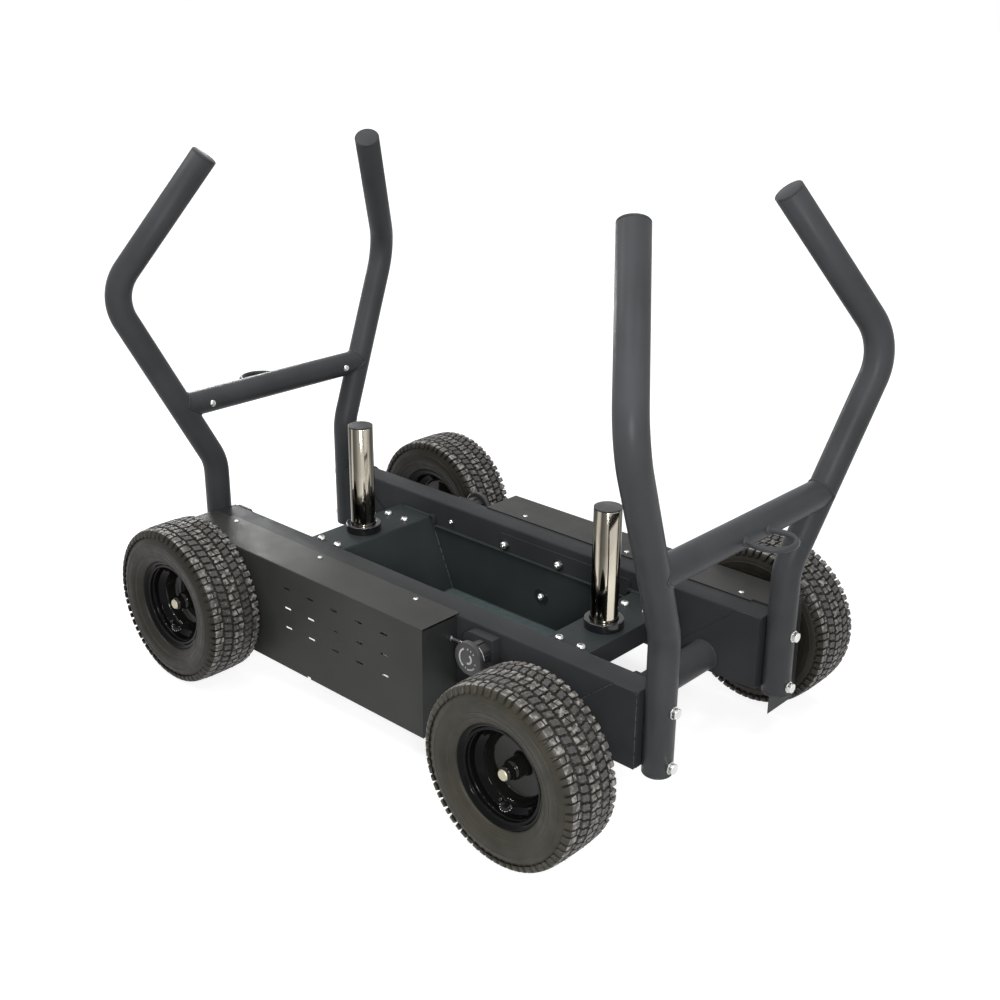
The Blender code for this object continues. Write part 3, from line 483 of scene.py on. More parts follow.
def both_ends(name, made, look, stands_for=(), **options):
    """A piece made at end B, and its mirror image at end A."""
    for end, part in (("_b", made), ("_a", transformed(made, mirror(-1, 1)))):
        finish_mesh(name + end, part, look, "frame", [node + end for node in stands_for], **options)


# Screws, washers and welds

def hexagon(flat, limit, z, count):
    """Points of a hexagon with this distance to its flats, none of them farther out than the limit."""
    points = []
    for angle in angles(count):
        reach = min(flat / cos(angle % (pi / 3) - pi / 6), limit)
        points.append(at("Z", z, *polar(reach, angle)))
    return points


def button_screw(width, height, socket):
    """A round-headed screw that stands on z = 0, with its hexagon socket sunk in the crown."""
    profile = [(-0.004, 0.5), (0.0, 0.5), (0.0, 1.0), (height * 0.35, 1.0), (height * 0.72, 0.86),
               (height * 0.95, 0.66), (height, 0.5)]
    rings = [ring((0, 0, z), "Z", width / 2 * share, 24) for z, share in profile]
    edge = hexagon(socket * cos(pi / 6), socket, height, 24)
    return loft(rings + [edge, [Vector((p.x * 0.92, p.y * 0.92, height * 0.35)) for p in edge]])


def add_washer(made, radius, sunk=0.0):
    """A washer on z = 0. The screw over it hides its hole."""
    profile = [(-sunk, radius * 0.5), (0, radius), (washer_height, radius), (washer_height, radius * 0.5)]
    add_turned(made, (0, 0, 0), "Z", rounded_profile(profile, 0.0004), 32)


def hexagon_bolt(across, height, washer):
    """A washer on z = 0 with a hexagon head on it, its crown chamfered."""
    made = bmesh.new()
    add_washer(made, washer, 0.0005)
    corner = across / 2 / cos(pi / 6)
    levels = ((-0.0002, corner), (height * 0.86, corner), (height, corner * 0.84))
    add_loft(made, [hexagon(across / 2, limit, washer_height + rise, 36) for rise, limit in levels])
    return made


def add_bead(made, centres, thickness, wave):
    """An uneven weld bead round a closed line of centres."""
    count = len(centres)
    middle = sum(centres, Vector()) / count
    rings = []
    for i in range(count):
        along = (centres[(i + 1) % count] - centres[i - 1]).normalized()
        outward = centres[i] - middle
        outward = (outward - along * outward.dot(along)).normalized()
        size = thickness * (1 + 0.12 * sin(i * wave) + 0.05 * random.uniform(-1, 1))
        rings.append(circle(centres[i], outward, along.cross(outward), size, 8))
    add_loft(made, rings, closed=True)


def add_seam(made, start, finish, radius):
    """A thin uneven weld from point to point, in runs with short breaks between them."""
    start, finish = Vector(start), Vector(finish)
    count = 12
    begin = 0.0
    while begin < 0.97:
        end = min(begin + random.uniform(0.06, 0.20), 1.0)
        path = [start.lerp(finish, begin + (end - begin) * i / count) for i in range(count + 1)]
        swell = [0.65 + 0.30 * abs(sin(i * 1.3)) + 0.2 * random.random() for i in range(count + 1)]
        add_loft(made, path_rings(path, [radius * share for share in swell], 6))
        begin = end + random.uniform(0.015, 0.06)


# Push handles and crossbars

def build_handles():
    foot = Vector((knee.x, knee.y, foot_height))
    up, out = Vector((0, 0, 1)), (tip - elbow).normalized()
    # The rounding of each end and the groove behind it, as (distance from the end, depth)
    groove = [(0.0, 0.0026), (0.0007, 0.0009), (0.0020, 0.0), (0.0042, 0.0), (0.0048, 0.0006), (0.0054, 0.0)]
    plan = [(foot + up * along, tube_radius - depth) for along, depth in groove]
    plan += [(point, tube_radius) for point in rounded_path([foot, knee, elbow, tip], bend_radius, 20)[1:-1]]
    plan += [(tip - out * along, tube_radius - depth) for along, depth in reversed(groove)]
    handle = loft(path_rings([p for p, r in plan], [r for p, r in plan], 48))
    for corner, (x, y) in corners.items():
        finish_mesh("push_handle_" + corner, transformed(handle, mirror(x, y)), tube_look_painted_light, "frame",
                    ["handle_" + corner], smooth=50)
    handle.free()


def tube_crossing(bar_x, height, line_start, line_end, side):
    """Points round a cross tube where it meets a leaning tube of the same size."""
    direction = (line_end - line_start).normalized()
    step = Vector((0, 1, 0))
    slope = step.cross(direction)
    a = slope.dot(slope)
    points = []
    for angle in angles(72):
        x, z = polar(tube_radius, angle)
        start = Vector((bar_x + x, 0, height + z))
        offset = (start - line_start).cross(direction)
        b = 2 * offset.dot(slope)
        c = offset.dot(offset) - tube_radius * tube_radius
        root = sqrt(max(b * b - 4 * a * c, 0))
        points.append(start + step * ((-b - side * root) / (2 * a)))
    return points


def build_crossbars():
    centre = knee.lerp(elbow, (crossbar_height - knee.z) / (elbow.z - knee.z))
    reach, bar_radius = centre.y - 0.006, tube_radius - 0.0002
    made = turned((centre.x, 0, crossbar_height), "Y", [(-reach, bar_radius), (reach, bar_radius)], 48)
    for side in (-1, 1):
        low, high = [Vector((p.x, side * p.y, p.z)) for p in (knee, elbow)]
        add_bead(made, tube_crossing(centre.x, crossbar_height, low, high, side), 0.0024, 2.4)
    both_ends("crossbar_tube", made, tube_look_painted_light, ["crossbar"], smooth=50)
    screw = button_screw(0.0135, 0.0042, 0.0035)
    turn = Matrix.Rotation(-pi / 2, 4, "Y")
    for side, label in ((-1, "near"), (1, "far")):
        spot = (centre.x - tube_radius - 0.0002, side * (centre.y - 0.058), crossbar_height)
        both_ends("crossbar_screw_" + label, transformed(screw, Matrix.Translation(spot) @ turn), screw_look)
    screw.free()

    bar, half_foot, half_width, reach_out = 0.005, 0.0325, 0.0385, 0.064
    foot_x = centre.x + tube_radius
    bend_x = foot_x + reach_out - half_width
    path = [Vector((foot_x - 0.004, -half_foot, crossbar_height))]
    steps = 36
    for step in range(steps + 1):
        x, y = polar(half_width, pi * (step / steps - 0.5))
        path.append(Vector((bend_x + x, y, crossbar_height)))
    path.append(Vector((foot_x - 0.004, half_foot, crossbar_height)))
    made = loft(path_rings(path, [bar] * len(path), 20))
    foot_weld = [(-0.002, 0.0088), (0.001, 0.0082), (0.0024, 0.0068), (0.0036, 0.0055), (0.0044, 0.0049)]
    for side in (-1, 1):
        add_turned(made, (foot_x, side * (half_foot + 0.0006), crossbar_height), "X", foot_weld, 20)
    both_ends("tow_eye", made, (tube_coat_painted_light, "black_coat"), ["tow_loop"], smooth=50)


def build_handle_bolts():
    bolt = hexagon_bolt(0.017, 0.0070, 0.0105)
    turn = Matrix.Rotation(pi / 2, 4, "Y")
    for height, label in ((0.242, "upper"), (0.142, "lower")):
        for corner, (x, y) in corners.items():
            spot = Matrix.Translation((knee.x + tube_radius - 0.0006, knee.y, height))
            finish_mesh("handle_bolt_%s_%s" % (label, corner), transformed(bolt, mirror(x, y) @ spot @ turn),
                        screw_look, "frame", smooth=30)
    bolt.free()


# Rails with their gusset plates

def build_rails():
    inset = 0.0007
    outline = rounded_rectangle((rail_inner, rail_bottom), (rail_outer, rail_top), 0.0045)
    end_face = rounded_rectangle((rail_inner + inset, rail_bottom + inset),
                                 (rail_outer - inset, rail_top - inset), 0.004)
    stations = ((-rail_reach, end_face), (-rail_reach + 0.0008, outline), (rail_reach - 0.0008, outline),
                (rail_reach, end_face))
    made = loft([[Vector((x, y, z)) for y, z in shape] for x, shape in stations])
    both_sides("side_rail", transformed(made, half_turn), frame_look_painted_shade, ["rail"])
    made.free()

    right, top, low = rail_reach - 0.0004, rail_top - 0.0003, rail_bottom + 0.0006
    corner = 0.009
    plate = [(right, low)]
    for step in range(9):
        angle = pi / 2 * step / 8
        plate.append((right - corner * (1 - cos(angle)), top - corner * (1 - sin(angle))))
    plate += [(rail_reach - 0.046, top), (rail_reach - 0.212, low)]
    made = bmesh.new()
    for end in (-1, 1):
        outline = [(end * x, z) for x, z in plate]
        add_loft(made, extruded(outline, "Y", -rail_inner - 0.001, -rail_inner + gusset_height))
    add_loft(made, extruded(plate, "Y", -rail_outer + 0.001, -rail_outer - gusset_height))
    both_sides("rail_gussets", made, frame_look_painted_shade, bevel=0.0006)

    made = bmesh.new()
    face, edge_face = -rail_outer - 0.0036, -rail_outer - 0.0030
    for end in (-1, 1):
        add_seam(made, (end * (rail_reach - 0.050), face, rail_top - 0.003),
                 (end * (rail_reach - 0.118), face, rail_top - 0.060), 0.0007)
        edge = end * (rail_reach - 0.0008)
        add_seam(made, (edge, edge_face, rail_top - 0.010), (edge, edge_face, rail_bottom + 0.004), 0.0008)
    both_sides("rail_end_welds", made, (pale_seam, "frame_coat"), smooth=60)


# Weight bin, cross members, posts and the fasteners beside them

def folded(points, thickness, bend, steps=5):
    """The outline of a folded sheet: its path with round bends, thickened to one side."""
    path = [Vector((p[0], p[1], 0)) for p in points]
    top = [path[0]]
    for before, corner, after in zip(path, path[1:], path[2:]):
        way_in = (corner - before).normalized()
        way_out = (after - corner).normalized()
        reach = bend * tan(way_in.angle(way_out) / 2)
        top += arc_points(corner - way_in * reach, corner, corner + way_out * reach, steps)
    top.append(path[-1])
    under = []
    for i, p in enumerate(top):
        along = (top[min(i + 1, len(top) - 1)] - top[max(i - 1, 0)]).normalized()
        under.append(p + Vector((along.y, -along.x, 0)) * thickness)
    return [(p.x, p.y) for p in top] + [(p.x, p.y) for p in reversed(under)]


def build_bin():
    sheet = 0.0025
    half_y = rail_inner - 0.0004
    line = [(-cross_high, flange_top), (-cross_low, flange_top), (-bin_floor_half, bin_floor)]
    line += [(-x, z) for x, z in reversed(line)]
    made = loft(extruded(folded(line, sheet, 0.006), "Y", -half_y, half_y))
    rise = (bin_side_top - bin_floor) / (flange_top - bin_floor)
    side_top = bin_floor_half + (cross_low - bin_floor_half) * rise
    wall = [(side_top, bin_side_top), (-side_top, bin_side_top), (-bin_floor_half, bin_floor - 0.001),
            (bin_floor_half, bin_floor - 0.001)]
    ear = rounded_rectangle((half_y - 0.0085, flange_top - 0.003), (half_y, flange_top + 0.0035), 0.003)
    curl = [(0.0, flange_top + 0.0035), (-0.011, flange_top + 0.002), (-0.013, flange_top - 0.014)]
    for side in (-1, 1):
        add_loft(made, extruded(wall, "Y", side * (half_y - sheet), side * half_y))
        lip_start, lip_end = sorted((side * (half_y - 0.0075), side * half_y))
        lip = rounded_rectangle((lip_start, bin_side_top - 0.0045), (lip_end, bin_side_top + 0.0005), 0.0022)
        add_loft(made, extruded(lip, "X", -side_top + 0.004, side_top - 0.004))
        outer, inner = side * half_y, side * (half_y - 0.0085)
        for end in (-1, 1):
            outline = [(side * y, z) for y, z in ear]
            add_loft(made, extruded(outline, "X", end * (cross_low - 0.006), end * (cross_low + 0.078)))
            rings = []
            for along, z in rounded_profile(curl, 0.010, 5):
                x = end * (cross_low - 0.002 + along)
                back = x + end * 0.003
                rings.append([Vector(p) for p in ((x, outer, z + 0.0015), (x, inner, z + 0.0015),
                                                  (back, inner, z - 0.003), (back, outer, z - 0.003))])
            add_loft(made, rings)
    seams = bmesh.new()
    for end in (-1, 1):
        for side in (-1, 1):
            y = side * (half_y - 0.0032)
            add_seam(seams, (end * (cross_low - 0.002), y, flange_top - 0.006),
                     (end * (bin_floor_half + 0.0005), y, bin_floor + 0.002), 0.0010)
    finish_mesh("bin_corner_welds", seams, (pale_seam, "bin_coat"), "frame", smooth=60)
    finish_mesh("open_weight_bin", made, (bin_coat, "bin_coat"), "frame", ["weight_bin"], bevel=0.0005)

    wall = 0.004
    top = flange_top - sheet - 0.0003
    low = top - 0.038
    channel = [(cross_low, low), (cross_low, top), (cross_high, top), (cross_high, low),
               (cross_high - wall, low), (cross_high - wall, top - wall), (cross_low + wall, top - wall),
               (cross_low + wall, low)]
    made = loft(extruded(channel, "Y", -half_y, half_y))
    both_ends("post_cross_member", made, frame_look_painted_shade, ["cross_member"], bevel=0.0012)

    screw = button_screw(0.0170, 0.0064, 0.0040)
    spots = [(dx, dy) for dx in (-0.0245, 0.0245) for dy in (-0.093, 0.093)]
    for number, (dx, dy) in enumerate(spots):
        turn = Matrix.Rotation(random.uniform(0, 1), 4, "Z")
        place = Matrix.Translation((post_x + dx, dy, flange_top)) @ turn
        both_ends("bin_screw_%d" % (number + 1), transformed(screw, place), screw_look, smooth=32)
    screw.free()


def build_posts():
    base, end = flange_top - 0.001, post_top - 0.0032
    profile = [(base, post_radius), (end - 0.0008, post_radius), (end, 0.0244), (end, 0.0232),
               (end - 0.003, 0.0230)]
    made = turned((post_x, 0, 0), "Z", profile, 96)
    for label, x, part in (("b", post_x, made), ("a", -post_x, transformed(made, mirror(-1, 1)))):
        look = (post_chrome("post_chrome_" + label, x), "post_chrome")
        finish_mesh("chrome_post_" + label, part, look, "frame", ["weight_post_" + label], smooth=40)
    profile = [(end - 0.004, 0.0226), (end + 0.0003, 0.0226), (end + 0.0003, post_radius),
               (post_top, post_radius), (post_top, 0.0010)]
    made = turned((post_x, 0, 0), "Z", rounded_profile(profile, 0.0007), 64)
    both_ends("post_plug", made, plastic_look, ["post_cap"], smooth=40)
    low, high = flange_top, flange_top + 0.0163
    profile = [(low, 0.0256), (low, 0.0356), (low + 0.001, 0.0360), (high - 0.0012, 0.0360), (high, 0.0350),
               (high, 0.0272), (high - 0.0015, 0.0256)]
    made = turned((post_x, 0, 0), "Z", rounded_profile(profile, 0.0007), 96, closed=True)
    both_ends("post_seat_collar", made, (collar_black, "black_plastic"), ["post_collar"])


def build_straps():
    face = rail_inner - 0.0003
    low, height = bin_side_top + 0.0003, 0.036
    outline = rounded_rectangle((-0.071, low), (0.262, low + height), 0.004, 3)
    made = loft(extruded(outline, "Y", face, face - 0.003))
    both_sides("bin_strap", transformed(made, half_turn), frame_look_painted_shade, ["mount_strap"], bevel=0.0006)
    made.free()
    bolt_height = bin_side_top + height * 0.37
    # Name, x, z, y, width, height, socket and washer radius
    kinds = [
        ("strap_bolt_1", -0.055, bolt_height, face - 0.003, 0.0165, 0.0080, 0.0042, 0.0118),
        ("strap_bolt_2", 0.088, bolt_height, face - 0.003, 0.0165, 0.0080, 0.0042, 0.0118),
        ("bin_wall_bolt", 0.045, 0.145, face - 0.0025, 0.0150, 0.0060, 0.0040, 0.0165),
        ("rail_screw", -0.211, 0.232, face, 0.0110, 0.0040, 0.0028, 0.0),
    ]
    for name, x, z, y, width, height, socket, washer in kinds:
        screw = button_screw(width, height, socket)
        place = half_turn @ Matrix.Translation((x, y, z)) @ Matrix.Rotation(pi / 2, 4, "X")
        if washer:
            bmesh.ops.translate(screw, verts=screw.verts, vec=(0, 0, washer_height))
            disc = bmesh.new()
            add_washer(disc, washer)
            both_sides(name + "_washer", transformed(disc, place), washer_look, smooth=32)
            disc.free()
        both_sides(name, transformed(screw, place), screw_look, smooth=32)
        screw.free()


# Wheels

def crown(across):
    """Radius of the lugs' tops: nearly flat across the tread, then round the shoulders."""
    share = min(abs(across) / 0.050, 1.0)
    return wheel_radius - 0.0003 - 0.0022 * share ** 2.5


def on_wheel(radius, turn, across):
    return at("Y", across, *polar(radius, turn))


def add_lug(made, outline, angle, top, flank=2):
    """One raised block: its outline, as (along the tread, across it), stands on the casing."""
    middle = sum((v for u, v in outline), 0.0) / len(outline)
    centre = sum((u for u, v in outline), 0.0) / len(outline)
    placed = []
    for drop, scale in ((0.0080, 1.08), (0.0008, 1.0), (0.0, 0.92)):
        points = []
        for u, v in outline:
            across = middle + (v - middle) * scale
            turn = angle + (centre + (u - centre) * scale) / wheel_radius
            points.append(made.verts.new(on_wheel(crown(across) - drop, turn, across)))
        placed.append(points)
    count = len(outline)
    for low, high in zip(placed, placed[1:]):
        for i in range(count):
            j = (i + 1) % count
            made.faces.new((low[i], low[j], high[j], high[i])).material_index = flank
    made.faces.new(placed[0]).material_index = 2
    made.faces.new(placed[-1]).material_index = top


def add_nub(made, angle, across):
    """A moulding nub, a tiny dot of rubber that stands on a lug."""
    rings = []
    for rise, size in ((-0.0004, 0.0010), (0.0007, 0.0009), (nub_height, 0.0004)):
        radius = crown(across) + rise - 0.0002
        spots = [polar(size, turn) for turn in angles(6)]
        rings.append([on_wheel(radius, angle + along / radius, across + aside) for along, aside in spots])
    add_loft(made, rings)


def add_shoulder_lug(made, side, angle, half_length, start):
    """A block that bends over the shoulder and runs out on the sidewall."""
    sunk = 0.0010 if start > 0.0405 else 0.0
    starts = [(start, 0.0014), (start + 0.0007, 0.0010), (0.0415, sunk), (0.0470, 0.0)]
    tops = [(y, crown(y) - depth) for y, depth in starts]
    tops += metres([(51.2, 154.4), (54.0, 151.4), (56.0, 147.4), (57.0, 144.0)])
    roots = [(start, 0.1492), (start + 0.0007, 0.1492), (0.0410, 0.1487)]
    roots += metres([(45.5, 147.8), (49.2, 146.4), (51.5, 144.6), (54.0, 143.2), (55.8, 142.0)])
    widths = [0.90, 0.98, 1.0, 1.0, 0.96, 0.86, 0.72, 0.58]
    placed = []
    for (top_y, top_r), (root_y, root_r), width in zip(tops, roots, widths):
        edge_y, edge_r = top_y - 0.0004, top_r - 0.0008
        section = ((-1.10, root_y, root_r), (-1.0, edge_y, edge_r), (-0.86, top_y, top_r),
                   (0.86, top_y, top_r), (1.0, edge_y, edge_r), (1.10, root_y, root_r))
        placed.append([made.verts.new(on_wheel(r, angle + spread * half_length * width / r, side * y))
                       for spread, y, r in section])
    for station, (low, high) in enumerate(zip(placed, placed[1:])):
        for i in range(6):
            j = (i + 1) % 6
            face = made.faces.new((low[i], low[j], high[j], high[i]))
            face.material_index = 1 if station > 3 else 0 if i in (1, 2, 3) else 2
    made.faces.new(placed[0]).material_index = 2
    made.faces.new(placed[-1]).material_index = 1


# Outlines in millimetres, as (along the tread, across it)
cup = [(-7.0, -10.8), (-2.6, -10.8), (-1.6, -8.2), (1.4, -8.2), (2.4, -11.0), (7.0, -10.2), (6.4, -4.0),
       (4.2, -0.6), (6.6, 3.2), (7.0, 10.8), (2.6, 10.8), (1.6, 8.2), (-1.4, 8.2), (-2.4, 11.0), (-7.0, 10.2),
       (-6.4, 4.0), (-4.2, 0.6), (-6.6, -3.2)]
upper_half = [(-5.6, -11.6), (5.6, -11.6), (5.4, -3.0), (-5.4, 1.2)]
lower_half = [(-5.4, 3.2), (5.4, -1.0), (5.6, 11.6), (-5.6, 11.6)]
round_block = [(-6.2, -5.4), (-3.4, -8.6), (0.2, -7.2), (3.8, -8.8), (6.4, -5.2), (5.2, -1.0), (6.6, 3.4),
               (3.6, 8.6), (-0.2, 7.2), (-3.8, 8.8), (-6.4, 5.2), (-5.2, 1.0)]
strip = [(-5.0, -2.2), (5.0, -3.2), (5.0, 2.2), (-5.0, 3.2)]
cross = [(-2.6, -6.0), (2.2, -6.4), (2.6, -2.8), (6.6, -3.4), (7.0, 1.8), (2.8, 2.4), (2.6, 5.8), (-2.2, 6.2),
         (-2.8, 2.6), (-6.8, 3.2), (-6.6, -2.0), (-2.8, -2.4)]

# Half of the casing's section and the rim's whole one, as (along the axle, radius), in millimetres
casing = [
    (0.0, 150.8), (30.0, 150.4), (43.0, 149.4), (48.5, 147.2), (52.0, 143.2), (54.5, 139.0), (56.2, 134.5),
    (57.1, 130.0), (57.7, 129.5), (57.8, 128.6), (57.2, 127.8), (57.3, 121.0), (56.6, 113.0), (56.2, 112.2),
    (56.5, 111.2), (55.6, 110.0), (54.3, 104.0), (54.0, 103.0), (54.3, 101.8), (53.4, 100.4), (52.0, 97.0),
    (50.2, 93.8), (48.2, 90.8), (46.2, 89.4), (43.6, 89.2), (39.2, 86.2), (38.8, 76.8)]
rim_section = [
    (45.6, 88.2), (45.3, 88.9), (44.6, 88.9), (43.8, 88.2), (40.8, 85.0), (40.0, 76.5), (26.0, 74.5),
    (16.0, 60.6), (-16.0, 60.6), (-26.0, 74.5), (-41.2, 76.5), (-42.2, 83.5), (-43.8, 88.2), (-44.6, 89.3),
    (-45.7, 89.2), (-46.2, 88.0), (-43.0, 80.0), (-36.0, 73.5), (-25.0, 71.5), (-17.5, 57.5), (-13.0, 53.5),
    (-14.0, 45.0), (-16.6, 30.0), (-17.8, 21.5), (-20.5, 19.2), (-50.0, 19.0), (-50.0, 10.4), (31.8, 10.4),
    (31.8, 11.6), (30.4, 12.6), (19.0, 13.0), (16.0, 16.6), (13.0, 17.6), (-8.0, 17.8), (-12.6, 18.2),
    (-14.2, 21.5), (-13.2, 30.0), (-10.6, 45.0), (-7.8, 53.5), (-5.0, 56.4), (11.0, 57.7), (16.0, 60.0),
    (20.0, 66.2), (23.2, 71.2), (29.0, 72.6), (33.5, 74.2), (36.8, 78.2), (41.2, 81.5), (44.2, 84.6)]
valve_stem = [(-3.0, 12.2), (0.6, 12.2), (1.2, 11.0), (1.6, 6.4), (3.0, 5.4), (13.0, 4.0), (15.0, 2.7),
              (19.0, 2.7), (19.2, 3.6), (26.2, 3.6), (27.0, 2.4)]


def off_axis(face):
    """A face's place along the axle and its distance from it, for a wheel about the origin."""
    middle = face.calc_center_median()
    return middle.y, hypot(middle.x, middle.z)


def build_tyre():
    """One tyre about the origin, its axle along Y: a casing turned in one, and separate raised lugs."""
    half = metres(casing)
    whole = half + [(0.030, 0.0800), (-0.030, 0.0800)]
    whole += [(-along, radius) for along, radius in reversed(half[1:])]
    made = turned((0, 0, 0), "Y", whole, 144, closed=True)
    for face in made.faces:
        along, radius = off_axis(face)
        face.material_index = 2 if abs(along) < 0.0500 and radius > 0.143 else 1
    pitch = 2 * pi / lug_count
    draw = random.Random(3)
    block_y, strip_y = 0.0232, 0.0371
    for i in range(lug_count):
        turn = (i + draw.uniform(-0.02, 0.02)) * pitch
        for shape in ([cup] if i % 2 else [upper_half, lower_half]):
            add_lug(made, metres(shape), turn, 0)
        for side in (-1, 1):
            place = turn + (0.45 if side < 0 else 0.55) * pitch
            outline = [((u + side * 0.22 * v) * 0.001, side * block_y + v * 0.001) for u, v in round_block]
            # The round blocks take the darker copy of the tread rubber: painted shade.
            add_lug(made, outline, place, 3)
            add_nub(made, place + draw.uniform(-0.012, 0.012), side * block_y + draw.uniform(-0.004, 0.004))
            wide = (i % 2 == 0) == (side < 0)
            if wide and side > 0:
                add_lug(made, [(u, 0.0440 + v) for u, v in metres(cross)], turn, 0, 0)
                add_lug(made, [(u, 0.0358 + v) for u, v in metres(strip)], turn, 0)
            elif wide:
                add_shoulder_lug(made, side, turn, 0.0068, 0.0352)
            else:
                add_shoulder_lug(made, side, turn, 0.0050, 0.0412)
                add_lug(made, [(u, side * (strip_y + v)) for u, v in metres(strip)], turn, 0)
    return made


def build_rim():
    """One rim about the origin, outer side towards +Y: flanges, bead seats, drop well, disc and hub."""
    section = metres(rim_section)
    made = turned((0, 0, 0), "Y", rounded_profile(section + section[:1], 0.0014)[:-1], 96, closed=True)
    for face in made.faces:
        # Painted shade: the outer parts take the darker copy of the rim's black.
        face.material_index = 1 if off_axis(face)[1] > 0.0590 else 0
    return made


def build_valve():
    """A valve that stands on z = 0 on its rubber seat, with a ring of bright beads round its foot."""
    made = turned((0, 0, 0), "Z", rounded_profile(metres(valve_stem), 0.0006), 24)
    shell = len(made.faces)
    bead = metres([(-1.0, 0.5), (0.2, 1.0), (1.0, 0.8), (1.3, 0.3)])
    for spot in ring((0, 0, 0.0004), "Z", 0.0112, 16):
        add_turned(made, spot, "Z", bead, 8)
    made.faces.ensure_lookup_table()
    for face in made.faces[shell:]:
        face.material_index = 1
    return made


def build_wheels():
    tyre_mesh = to_mesh("turf_tyre", build_tyre())
    rim, valve = build_rim(), build_valve()
    for material in (lug_tops, darker_sidewall_painted_shade, grooves, lug_tops_painted_shade):
        tyre_mesh.materials.append(material)
    for corner, (x, y) in corners.items():
        end = corner[0]
        body = "wheelset_" + end
        centre = Matrix.Translation((x * wheel_x, y * wheel_y, wheel_radius))
        place = centre @ mirror(1, y)
        mesh = tyre_mesh.copy()
        # Painted light: only the near tyre at end B keeps the lighter sidewall, standing in for its sheen.
        if corner == "b_near":
            mesh.materials[1] = sidewall
        mesh.transform(centre @ Matrix.Rotation(0.37 + 1.1 * x + 0.6 * y, 4, "Y"))
        look = (lug_tops, "tyre_rubber")
        finish_object("turf_tyre_" + corner, mesh, look, body, ["tyre_" + corner], smooth=32)
        piece = finish_mesh("wheel_rim_" + corner, transformed(rim, place), (gloss_black, "gloss_black"),
                            body, ["rim_" + corner], smooth=40)
        piece.data.materials.append(rim_edge_black_painted_shade)
        lean = Matrix.Translation((0, 0.0195, -0.0652)) @ Matrix.Rotation(radians(-38), 4, "X")
        around = Matrix.Rotation(radians(5 if end == "b" else 20), 4, "Y")
        piece = finish_mesh("tyre_valve_" + corner, transformed(valve, place @ around @ lean),
                            (gloss_black, "black_plastic"), body, smooth=40)
        piece.data.materials.append(zinc)
    for end, x in (("a", -wheel_x), ("b", wheel_x)):
        reach = axle_reach
        profile = [(-reach, 0.0086), (-reach + 0.0014, 0.0100), (reach - 0.0014, 0.0100), (reach, 0.0086)]
        made = turned((x, 0, wheel_radius), "Y", profile, 48)
        finish_mesh("live_axle_" + end, made, (axle_end, "plain_steel"), "wheelset_" + end, ["axle_" + end],
                    smooth=40)
        half = rail_inner - 0.0046
        profile = [(-half, 0.0285), (half, 0.0285), (half, 0.0255), (-half, 0.0255)]
        made = turned((x, 0, wheel_radius), "Y", profile, 64, closed=True)
        for side in (-1, 1):
            add_bead(made, ring((x, side * (half - 0.0008), wheel_radius), "Y", 0.0290, 56), 0.0013, 2.6)
        finish_mesh("welded_axle_tube_" + end, made, tube_look_painted_light, "frame", ["axle_tube_" + end], smooth=45)


# Side boxes

def cut(made, tools):
    """A bmesh with each tool's volume taken away."""
    body = add_object("cut_body", to_mesh("cut_body", made))
    helpers = [body]
    for tool in tools:
        helper = add_object("cut_tool", to_mesh("cut_tool", tool))
        helpers.append(helper)
        modifier = body.modifiers.new("cut", "BOOLEAN")
        modifier.operation = "DIFFERENCE"
        modifier.solver = "EXACT"
        modifier.object = helper
    graph = bpy.context.evaluated_depsgraph_get()
    result_mesh = bpy.data.meshes.new_from_object(body.evaluated_get(graph))
    result = bmesh.new()
    result.from_mesh(result_mesh)
    bpy.data.meshes.remove(result_mesh)
    for helper in helpers:
        old = helper.data
        bpy.data.objects.remove(helper, do_unlink=True)
        bpy.data.meshes.remove(old)
    return result


